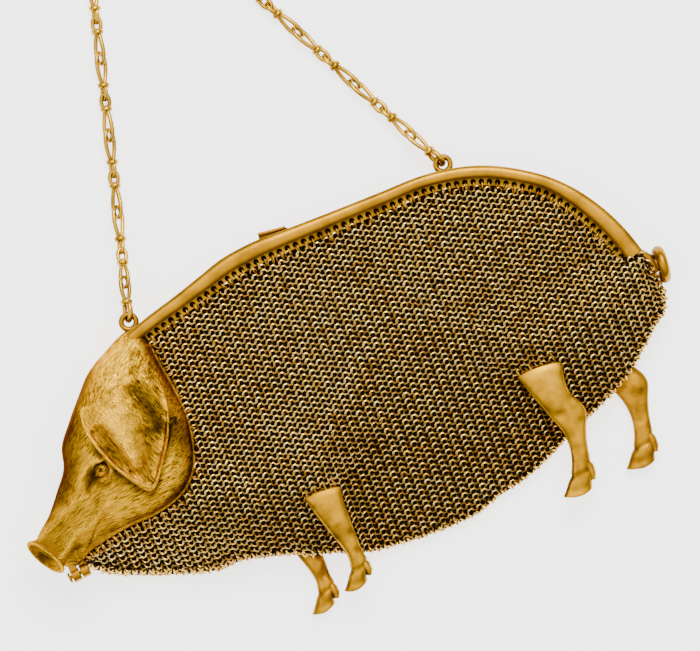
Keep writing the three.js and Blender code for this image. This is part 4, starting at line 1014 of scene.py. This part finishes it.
def far_leg_rise(x, y, near):
    """Height that the far legs lift the mesh by: the near panel falls softly, except beside a near leg."""
    rise = np.zeros(np.shape(x))
    margin, fall, free = FAR_LEG_ROOM["margin"], FAR_LEG_ROOM["fall"], FAR_LEG_ROOM["free_fall"]
    for leg, far_leg in zip(LEGS[:2], LEGS[2:]):
        low = min(row[1] for row in far_leg["rows"]) + far_leg["dx"] - margin
        high = max(row[2] for row in far_leg["rows"]) + far_leg["dx"] + margin
        over = y - far_leg["y"] - margin
        left = right = above = fall
        if near:
            beside = fall + (free - fall) * smoothstep(y, leg["y"] - 2, leg["y"] + 9)
            left, right = (free, beside) if far_leg["dx"] < 0 else (beside, free)
            above = free
        away = np.maximum.reduce([(low - x) / left, (x - high) / right, over / above, np.zeros(np.shape(x))])
        rise = np.maximum(rise, FAR_LEG_ROOM["rise"] * (1 - smoothstep(away, 0, 1)))
    return rise


def bag_sections(tucked):
    """Mouth and belly points of sections from chin to tail, the mouth along the rail or tucked under it."""
    rows = []
    for sections, count, rail in ((JOWL_SECTIONS, 90, JOWL_RAIL), (BAR_SECTIONS, 190, BAR_RAIL)):
        line = spline(sections, count)
        across = line[:, 2] + rail["mesh"] - (rail["tuck"] if tucked else 0)
        rows.append(np.column_stack([line[:, :2] + side_normals(line) * across[:, None], line[:, 3:5]]))
    return np.vstack(rows + [RUMP_ROWS])


def bag_panels(start, short, lip):
    """Grids of the near and far panels, from a start below the rail to short of the belly's edge."""
    rows = bag_sections(not start)
    mouth, belly = rows[:, None, :2], rows[:, None, 2:]
    width = np.linalg.norm(belly - mouth, axis=2)
    first = np.minimum(0.6, start / width)
    last = 1 - np.minimum(0.3, short / width)
    share = first + (last - first) * np.linspace(0, 1, 70)[None, :]
    plan = mouth + (belly - mouth) * share[..., None]
    slack = BAG["puff"] * np.minimum(1, width / BAG["full_width"])
    seam = SEAM_HEIGHT - mouth[..., 0] * math.tan(SEAM_TILT)
    near = (seam + lip) * (1 - share) + BAG["belly"] * share + slack * np.sin(math.pi * np.clip(share, 0, 1))
    far = (seam - lip) * (1 - smoothstep(share, 0, BAG["drop"]))
    near += far_leg_rise(plan[..., 0], plan[..., 1], True)
    far += far_leg_rise(plan[..., 0], plan[..., 1], False)
    return np.dstack([plan, near]), np.dstack([plan, far])


def sheet_faces(rows, columns):
    """Faces of a grid of points."""
    faces = []
    for i in range(rows - 1):
        for j in range(columns - 1):
            a = i * columns + j
            faces.append((a, a + 1, a + columns + 1, a + columns))
    return faces


def ring_axes(normal, lean):
    """Axes of a ring that leans over its own column on a panel with that normal."""
    along = unit(np.array((1.0, 0, 0)) - normal * normal[0])
    across = np.cross(normal, along)
    tipped = math.copysign(math.cos(lean), lean) * across + math.sin(abs(lean)) * normal
    spin = random.normal(0, RING["spin"], 3)
    axes = np.stack([along, tipped, np.cross(along, tipped)])
    turn = Matrix.Identity(3)
    for angle, axis in zip(spin, "XYZ"):
        turn = turn @ Matrix.Rotation(angle, 3, axis)
    return list(axes @ np.array(turn))


def ring_tarnish(x, y):
    """Share of tarnish on a ring: clouds over the panel, and chance."""
    cloud = noise.noise((x / 14, y / 14, 1.7)) * 0.12
    return float(np.clip(0.4 + cloud + random.normal(0, 0.16), 0, 1))


def panel_rings(panel, up):
    """Rows of rings over a panel: columns across the pig, each leaning against its neighbours."""
    count = panel.shape[:2]
    tree = BVHTree.FromPolygons([tuple(p) for p in panel.reshape(-1, 3)], sheet_faces(*count))
    low, high = panel.reshape(-1, 3).min(axis=0), panel.reshape(-1, 3).max(axis=0)
    rows = []
    for i in range(-6, int((high[0] - low[0]) / RING["column"]) + 7):
        for j in range(int((high[1] - low[1]) / RING["pitch"]) + 1):
            y = low[1] + (j + 0.5 * (i % 2)) * RING["pitch"]
            x = low[0] + i * RING["column"] + RING["drift"] * y
            hit, normal, _, _ = tree.ray_cast(Vector((x, y, 40 * up)), Vector((0, 0, -up)))
            if hit is None:
                continue
            normal = np.array(normal) * (1 if normal.z * up > 0 else -1)
            lean = math.radians(RING["lean"]) * (1 if i % 2 else -1)
            jitter = random.normal(0, RING["jitter"], 3)
            at = np.array(hit) - normal * RING["sink"] + jitter
            scale = 1 + random.normal(0, RING["spread"])
            rows.append((placed(PURSE_PLACE, at), ring_axes(normal, lean), (scale,) * 3, ring_tarnish(x, y)))
    return rows


LINK_SIZES = {"Start": 0.0, "Loop steps": 14, "Wire steps": 6}
RING_WIDTH = RING["outer"] - RING["wire"]
RING_SIZES = {
    "Length": RING_WIDTH, "Half width": RING_WIDTH / 2, "Start": RING_WIDTH / 2,
    "Wire radius": RING["wire"] / 2, "Loop steps": 9, "Wire steps": 4,
}


def shade_sheet_shape(near, far):
    """Closed dark sheet of painted shade inside the bag, just under the rings of both panels."""
    picked = [np.unique(np.linspace(0, size - 1, size // 2).astype(int)) for size in near.shape[:2]]
    near, far = near[np.ix_(*picked)], far[np.ix_(*picked)]
    far[..., 2] += 2 * RING["sink"]
    near[..., 2] = np.maximum(near[..., 2] - 2 * RING["sink"], far[..., 2] + 0.05)
    count, columns = near.shape[:2]
    faces = sheet_faces(count, columns)
    under = count * columns
    faces += [tuple(under + k for k in reversed(face)) for face in faces]
    loop = [i * columns for i in range(count)] + [(count - 1) * columns + j for j in range(1, columns)]
    loop += [i * columns + columns - 1 for i in range(count - 2, -1, -1)] + list(range(columns - 2, 0, -1))
    for p, q in zip(loop, loop[1:] + loop[:1]):
        faces.append((p, q, under + q, under + p))
    return np.vstack([near.reshape(-1, 3), far.reshape(-1, 3)]), faces


def free_edge(near, far):
    """Rows of x, y, far, near and top height along chin end, belly and tail end, where the panels meet."""
    inset = np.linalg.norm((near - near[:, -1:])[..., :2], axis=2)
    top = np.array([np.interp(-1.6, -away, height) for away, height in zip(inset, near[..., 2])])
    belly = np.column_stack([near[:, -1, :2], far[:, -1, 2], near[:, -1, 2], top])
    chin = np.column_stack([near[0, :, :2], far[0, :, 2], near[0, :, 2], near[0, :, 2]])
    tail = np.column_stack([near[-1, :, :2], far[-1, :, 2], near[-1, :, 2], near[-1, :, 2]])
    return np.vstack([chin[:-1], belly, tail[-2::-1]])


def edge_rings(near, far):
    """Standing rings that close the bag's free edges, as many above each other as the edge is high."""
    edge = free_edge(near, far)
    run = run_along(edge)
    up = np.array((0, 0, 1.0))
    rows = []
    for i, s in enumerate(np.arange(0, run[-1], EDGE_RING["pitch"])):
        x, y, low, high, top = (np.interp(s, run, edge[:, k]) for k in range(5))
        ahead = np.array([np.interp(s + 0.5, run, edge[:, k]) for k in range(2)]) - (x, y)
        if np.linalg.norm(ahead) < 0.1:
            continue
        ahead = unit(np.append(ahead, 0))
        out = np.cross(ahead, up)
        count = max(1, round((top - low) / EDGE_RING["rise"]))
        for k in range(count):
            height = low + (k + 0.5 * (1 + i % 2 * 0.6)) * (top - low) / count
            inward = max(0, height - high) / max(0.5, top - high)
            at = np.array((x, y, height)) - out * inward + random.normal(0, EDGE_RING["jitter"], 3)
            lean = (1 if i % 2 else -1) * EDGE_RING["lean"] + random.normal(0, EDGE_RING["jitter"])
            flat = math.cos(lean) * out + math.sin(lean) * ahead
            axes = [up, flat, np.cross(up, flat)]
            rows.append((placed(PURSE_PLACE, at), axes, EDGE_RING["size"], ring_tarnish(x, y)))
    return rows


def make_mesh_panels():
    """Ring mesh of both panels in front and rear parts, a dark sheet of painted shade inside, and rings along
    the free edges.
    """
    near, far = bag_panels(RING["start"], 0.6, BAG["lip"])
    for name, panel, up, steps in (("near", near, 1, 9), ("far", far, -1, 8)):
        rows = panel_rings(panel, up)
        middle = np.median([row[0][0] for row in rows])
        for part, rear in (("front", False), ("rear", True)):
            label = f"{name}_{part}_rings"
            kept = [row for row in rows if (row[0][0] > middle) == rear]
            mesh = loops_mesh(label, kept, RING_GOLD, **{**RING_SIZES, "Loop steps": steps})
            piece(label, mesh, RING_GOLD, "ring_mesh", "mesh_bag", smooth=80)
    # Dark sheet just under the rings of both panels: painted shade for the mesh's gaps
    inside = shade_sheet_shape(*bag_panels(0, 0.2, BAG["sheet_lip"]))
    piece("painted_shade_sheet", made_mesh("painted_shade_sheet", [inside], PURSE_PLACE), SHADE, "ring_mesh", "mesh_bag")
    edge = loops_mesh("belly_edge_rings", edge_rings(near, far), RING_GOLD, **RING_SIZES)
    piece("belly_edge_rings", edge, RING_GOLD, "ring_mesh", "mesh_bag", smooth=80)


def loop_axes(a, b, roll):
    """Axes of a loop that runs from one place to another, rolled about its length."""
    along = unit(b - a)
    flat = unit(np.cross((0, 0, 1.0), along))
    side = math.cos(roll) * flat + math.sin(roll) * np.cross(along, flat)
    return [along, side, np.cross(along, side)]


def make_rail_links():
    """Links from the rail to the first rings: through each hole of the bar, and closer at the jowl."""
    rows = []
    for place in (NEAR_PLACE, FAR_PLACE):
        for sections, rail, pitch, reach in ((RAIL_ROWS, BAR_RAIL, HOLE["pitch"], 2.6),
                                             (JOWL_SECTIONS[:8], JOWL_RAIL, 1.55, 2.0),
                                             (JOWL_SECTIONS[7:], JOWL_RAIL, 1.9, 1.3)):
            at, length = rail_line(sections, 400)
            count = int(length / pitch)
            root = min(HOLE["out"], rail["reach"]) - 0.1
            for i in range(count):
                s = (i + 0.5) * length / count
                a = placed(place, (*at(s + random.normal(0, 0.1), root), rail["high"]))
                end = at(s + random.normal(0.25, 0.3), reach + random.normal(0, 0.25))
                b = placed(place, (*end, rail["high"] + 0.3))
                axes = loop_axes(a, b, random.normal(1.4, 0.15))
                rows.append((a, axes, (np.linalg.norm(b - a) / 2, 1, 1), 0.3))
    mesh = loops_mesh("rail_links", rows, LINK_GOLD, **{**LINK_SIZES, "Length": 2.0, "Half width": 0.62,
                                                        "Wire radius": 0.18})
    piece("rail_links", mesh, LINK_GOLD, "ring_mesh", "mesh_bag", smooth=80)


# Legs


def leg_shape(rows, foot, dx):
    """Cast leg: rounded, dented at the joints, grooved above a flared hoof, with a dewclaw behind it."""
    path = spline(np.column_stack([np.zeros(len(rows)), rows]), 90)[:, 1:]
    angle = np.linspace(0, 2 * math.pi, 44, endpoint=False)
    rings = []
    painted_light = []
    length = -rows[-1][0]
    groove = foot["groove"]
    for y, front, back, half in path:
        waist = 1 - 0.1 * bump(y - groove, 0.5) + 0.06 * smoothstep(-y, -groove, -groove + 1.2)
        waist += 0.08 * bump(y + length, 0.6)
        middle, wide = (front + back) / 2, (back - front) / 2 * waist
        x = middle + wide * np.cos(angle)
        z = half * waist * np.sign(np.sin(angle)) * np.abs(np.sin(angle)) ** 0.85
        # Painted shade along the leg's outline, in the groove above the hoof and in a band above the sole,
        # with the sole's rim spared; painted shade in the dents below too
        tone = 0.8 * (1 - smoothstep(np.abs(np.sin(angle)), 0.05, 0.5)) + 0.6 * bump(y - groove, 0.5)
        tone += 0.45 * bump(y + length - 1.5, 0.8) - 0.9 * bump(y + length, 0.5)
        for dent_x, dent_y in foot["dents"]:
            away = np.hypot(x - dent_x, y - dent_y)
            z -= np.sin(angle) * 0.3 * bump(away, 1.15)
            tone += 0.35 * bump(away, 0.9)
        top = max(0, 1 + y / length * 6)
        low = float(smoothstep(-y, -groove - 1, length))
        arch = (1 - ((x - middle) / wide) ** 2) * (0.7 * top - 0.6 * low)
        tilt = (middle - x) * (0.14 * top + foot["heel"] * low)
        rings.append(np.stack([x + dx, y + arch + tilt, z], axis=1))
        painted_light.append(tone)
    for draw, drop in ((0.98, 0.12), (0.93, 0.15), (0.8, 0.14), (0.5, 0.06)):
        middle = rings[-1].mean(axis=0)
        rings.append(middle + (rings[-1] - middle) * (draw, 1, draw) + (0, -drop, 0))
        painted_light.append(np.zeros(len(angle)))
    claw = tube([(x + dx, y, 0.2) for x, y in foot["claw"]], CLAW_RADII, 14)
    return [skin(rings), claw], np.append(np.concatenate(painted_light), np.zeros(2 + len(claw[0])))


def make_legs():
    """Four cast legs, and the links that hang them in the mesh."""
    links = []
    for leg in LEGS:
        slope = Matrix.Rotation(math.radians(leg["slope"]), 4, "X")
        place = PURSE_PLACE @ Matrix.Translation((0, leg["y"], leg["z"])) @ slope
        shapes, painted_light = leg_shape(leg["rows"], leg["foot"], leg["dx"])
        name = leg["name"] + "_cast"
        # The far legs take the darker gold, painted shade
        gold = FAR_LEG_GOLD if leg["slope"] == 0 else LEG_GOLD
        piece(name, made_mesh(name, shapes, place, painted_light), gold, "polished_gold", leg["name"], smooth=45)
        front, back = leg["rows"][0][1:3]
        for x in np.linspace(front + 0.9, back - 1.2, 4):
            a = placed(place, (x + leg["dx"], 0.1, 0.2))
            b = placed(place, (x + leg["dx"] + random.normal(0, 0.2), 2.4, -0.1))
            along = unit(b - a)
            wide = unit(np.cross(along, (1.0, 0, 0.25)))
            links.append((a, [along, wide, np.cross(along, wide)], (1, 1, 1), 0.3))
    mesh = loops_mesh("leg_links", links, LINK_GOLD, **{**LINK_SIZES, "Length": 2.4, "Half width": 0.4,
                                                        "Wire radius": 0.12})
    piece("leg_links", mesh, LINK_GOLD, "ring_mesh", "mesh_bag", smooth=80)


# Hinge pin and tail


def make_pin_and_tail():
    """Headed pin under the chin, and the tail, whose straight end is the pin at the rump."""
    low = CHIN_HINGE["x"] - CHIN_HINGE["length"] - PIECE_GAP * 1.5
    length = CHIN_HINGE["x"] + CHIN_HINGE["length"] + PIECE_GAP - low
    head, thick, radius = CHIN_PIN["head"], CHIN_PIN["head_length"], CHIN_PIN["radius"]
    profile = [(0.01, -thick), (head * 0.6, -thick), (head * 0.92, -thick * 0.75), (head, -thick * 0.4),
               (head, -0.06), (head - 0.1, 0), (radius, 0), (radius, length), (0.01, length)]
    pin = turned(profile, (1, 0, 0), (low, CHIN_HINGE["y"], 0), 28)
    pin_mesh = made_mesh("snout_hinge_pin", [pin], NEAR_PLACE)
    piece("snout_hinge_pin", pin_mesh, BAR_GOLD, "polished_gold", "snout_pin")
    middle = np.array((TAIL["end"], RUMP_HINGE["y"], 0))
    yaw = math.radians(TAIL["yaw"])
    first, inner, thin = TAIL["first"], TAIL["inner"], TAIL["pin"]
    path = [np.array((RUMP_HINGE["x"] + reach - PIECE_GAP, RUMP_HINGE["y"], 0))
            for reach in (-RUMP_HINGE["length"], RUMP_HINGE["length"])]
    radii = [thin, thin]
    for turn in np.linspace(first, TAIL["last"], 90):
        reach = inner + (TAIL["coil"] - inner) * float(smoothstep(turn, first, -5))
        x = (TAIL["start"] - TAIL["end"]) * (1 - float(smoothstep(turn, first, 60)))
        y = reach * math.cos(math.radians(turn))
        path.append(middle + (x * math.cos(yaw) - y * math.sin(yaw), x * math.sin(yaw) + y * math.cos(yaw),
                              reach * math.sin(math.radians(turn))))
        left = (TAIL["last"] - turn) / TAIL["tip"]
        full = thin + (TAIL["radius"] - thin) * float(smoothstep(turn, first, -40))
        radii.append(full * math.sqrt(1 - max(0, 1 - left) ** 2 * 0.96))
    tail_mesh = made_mesh("curled_tail", [tube(path, radii, 18)], NEAR_PLACE)
    piece("curled_tail", tail_mesh, BAR_GOLD, "polished_gold", "tail_curl", smooth=60)


# Chain


def chain_route():
    """Places along the chain: a straight strand from each loop and a round turn at the top."""
    left, right = (np.array(p) for p in LOOP_PLACES)
    apex = np.array(CHAIN["apex"])
    up, down = apex - left, right - apex
    up_length, down_length = np.linalg.norm(up), np.linalg.norm(down)
    up, down = up / up_length, down / down_length
    turn = math.acos(up.dot(down))
    step = CHAIN["join"] + CHAIN["long"]
    ends = sum(CHAIN[key] for key in ("first_reach", "first_long", "join", "last_long", "last_reach"))
    length = CHAIN["full"] * step + ends
    radius = (up_length + down_length - length) / (2 * math.tan(turn / 2) - turn)
    cut = radius * math.tan(turn / 2)
    run = up_length - cut
    start = left + up * run
    middle = start + np.array((up[1], -up[0])) * radius

    def at(s):
        if s <= run:
            plan = left + up * s
        elif s >= run + radius * turn:
            plan = apex + down * (cut + s - run - radius * turn)
        else:
            angle = -(s - run) / radius
            arm = start - middle
            plan = middle + np.array((arm[0] * math.cos(angle) - arm[1] * math.sin(angle),
                                      arm[0] * math.sin(angle) + arm[1] * math.cos(angle)))
        near_end, place = (s, left) if s < length / 2 else (length - s, right)
        top = SEAM_HEIGHT - place[0] * math.tan(SEAM_TILT) - LOOP["depth"]
        settled = float(smoothstep(near_end, 0, CHAIN["settle"]))
        return np.array((plan[0], plan[1], top + (CHAIN["height"] - top) * settled))

    return at


def make_chain():
    """Pairs of pear-shaped loops hooked into each other, a collar and an eye at both ends of each pair."""
    route = chain_route()
    lengths = [CHAIN["first_long"]] + [CHAIN["long"]] * CHAIN["full"] + [CHAIN["last_long"]]
    pears, eyes, end_eyes, collars = [], [], [], []
    s = CHAIN["first_reach"]
    for i, length in enumerate(lengths):
        first, last = i == 0, i == len(lengths) - 1
        a, b = route(s), route(s + length)
        reach = np.linalg.norm(b - a) / 2 + CHAIN["hook"]
        for start, end in ((a, b), (b, a)):
            size = (reach / CHAIN["pear"], 1, 1)
            pears.append((placed(PURSE_PLACE, start), loop_axes(start, end, math.pi / 4), size))
            collars.append((start, end))
        before = route(0 if first else s - CHAIN["join"])
        after = route(s + length + CHAIN["last_reach" if last else "join"])
        size = (np.linalg.norm(a - before) / 4.6 if first else 1, 1, 1)
        front_eye = (placed(PURSE_PLACE, a), loop_axes(a, before, math.pi / 3), size)
        back_eye = (placed(PURSE_PLACE, b), loop_axes(b, after, math.pi / 3 if last else 0), (1, 1, 1))
        (end_eyes if first else eyes).append(front_eye)
        (end_eyes if last else eyes).append(back_eye)
        s += length + CHAIN["join"]
    meshes = []
    for name, rows, long, half, neck, wire, steps in (
            ("pears", pears, CHAIN["pear"], 1.7, 0.45, CHAIN["wire"], 24),
            ("eyes", eyes, 3.4, 0.95, 1.0, CHAIN["wire"], 18),
            ("end_eyes", end_eyes, 4.3, 1.4, 1.0, CHAIN["end_wire"], 20)):
        meshes.append(loops_mesh(name, rows, WIRE_GOLD, **{
            "Length": long, "Half width": half, "Neck": neck, "Start": 0.0, "Wire radius": wire,
            "Loop steps": steps, "Wire steps": 8}))
    radius, half = CHAIN["collar"], CHAIN["collar_half"]
    rise = [(0.01, -half - 0.1), (radius * 0.55, -half - 0.1), (radius * 0.8, -half + 0.05),
            (radius, -half * 0.3)]
    profile = rise + [(r, -z) for r, z in reversed(rise)]
    beads = [turned(profile, unit(b - a), a, 18, across=loop_axes(a, b, 0)[1]) for a, b in collars]
    meshes.append(made_mesh("collars", beads, PURSE_PLACE))
    chain = joined_mesh("carrying_chain", meshes)
    piece("carrying_chain", chain, WIRE_GOLD, "chain_gold", "chain", smooth=60)


make_head("near_head", NEAR_PLACE, "near_frame")
make_head("far_head", FAR_PLACE, "far_frame")
make_bar("near", NEAR_PLACE, "near_frame", -1)
make_bar("far", FAR_PLACE, "far_frame", 1)
make_mesh_panels()
make_rail_links()
make_legs()
make_pin_and_tail()
make_lever()
make_chain()

# Camera straight above, as in the photo: long lens, turned so that the pig's back slopes
VIEW_CENTRE = (9.14 * MM, -25.27 * MM)
VIEW_TURN = math.radians(-27.5)
VIEW_WIDTH = 161 * MM
VIEW_DISTANCE = 1.2
camera = bpy.data.cameras.new("camera")
camera.sensor_fit = "HORIZONTAL"
camera.sensor_width = 36
camera.lens = 36 * (VIEW_DISTANCE - SEAM_HEIGHT * MM) / VIEW_WIDTH
camera_object = linked("camera", camera)
camera_object.location = (*VIEW_CENTRE, VIEW_DISTANCE)
camera_object.rotation_euler = (0, 0, VIEW_TURN)
bpy.context.scene.camera = camera_object

# White paper floor
floor_mesh = bpy.data.meshes.new("floor")
floor_mesh.from_pydata([(-3, -3, 0), (3, -3, 0), (3, 3, 0), (-3, 3, 0)], [], [(0, 1, 2, 3)])
floor_mesh.materials.append(floor_paper())
floor = linked("floor", floor_mesh)

# Soft boxes: a large one at the upper right of the view, a weaker one at the left
for name, place, size, power in (("key", (0.4, 0.56, 0.95), 0.6, 13), ("fill", (-0.8, 0.1, 0.8), 0.6, 2)):
    light = bpy.data.lights.new(name, "AREA")
    light.size = size
    light.energy = power
    lamp = linked(name, light)
    lamp.location = place
    lamp.rotation_euler = (-Vector(place)).to_track_quat("-Z", "Y").to_euler()

world = bpy.data.worlds.new("studio")
world.use_nodes = True
sky = world.node_tree
towards = add(sky, "ShaderNodeTexCoord").outputs["Generated"]
overhead = add(sky, "ShaderNodeVectorMath", {0: towards, 1: (0.1, 0.08, 0.992)}, operation="DOT_PRODUCT")
glow = add(sky, "ShaderNodeValToRGB", {"Fac": overhead.outputs["Value"]},
           stops=[(0.3, "#181614"), (0.96, "#FFFDF8")])
sky.links.new(glow.outputs[0], sky.nodes["Background"].inputs["Color"])
sky.nodes["Background"].inputs["Strength"].default_value = 1.95
bpy.context.scene.world = world
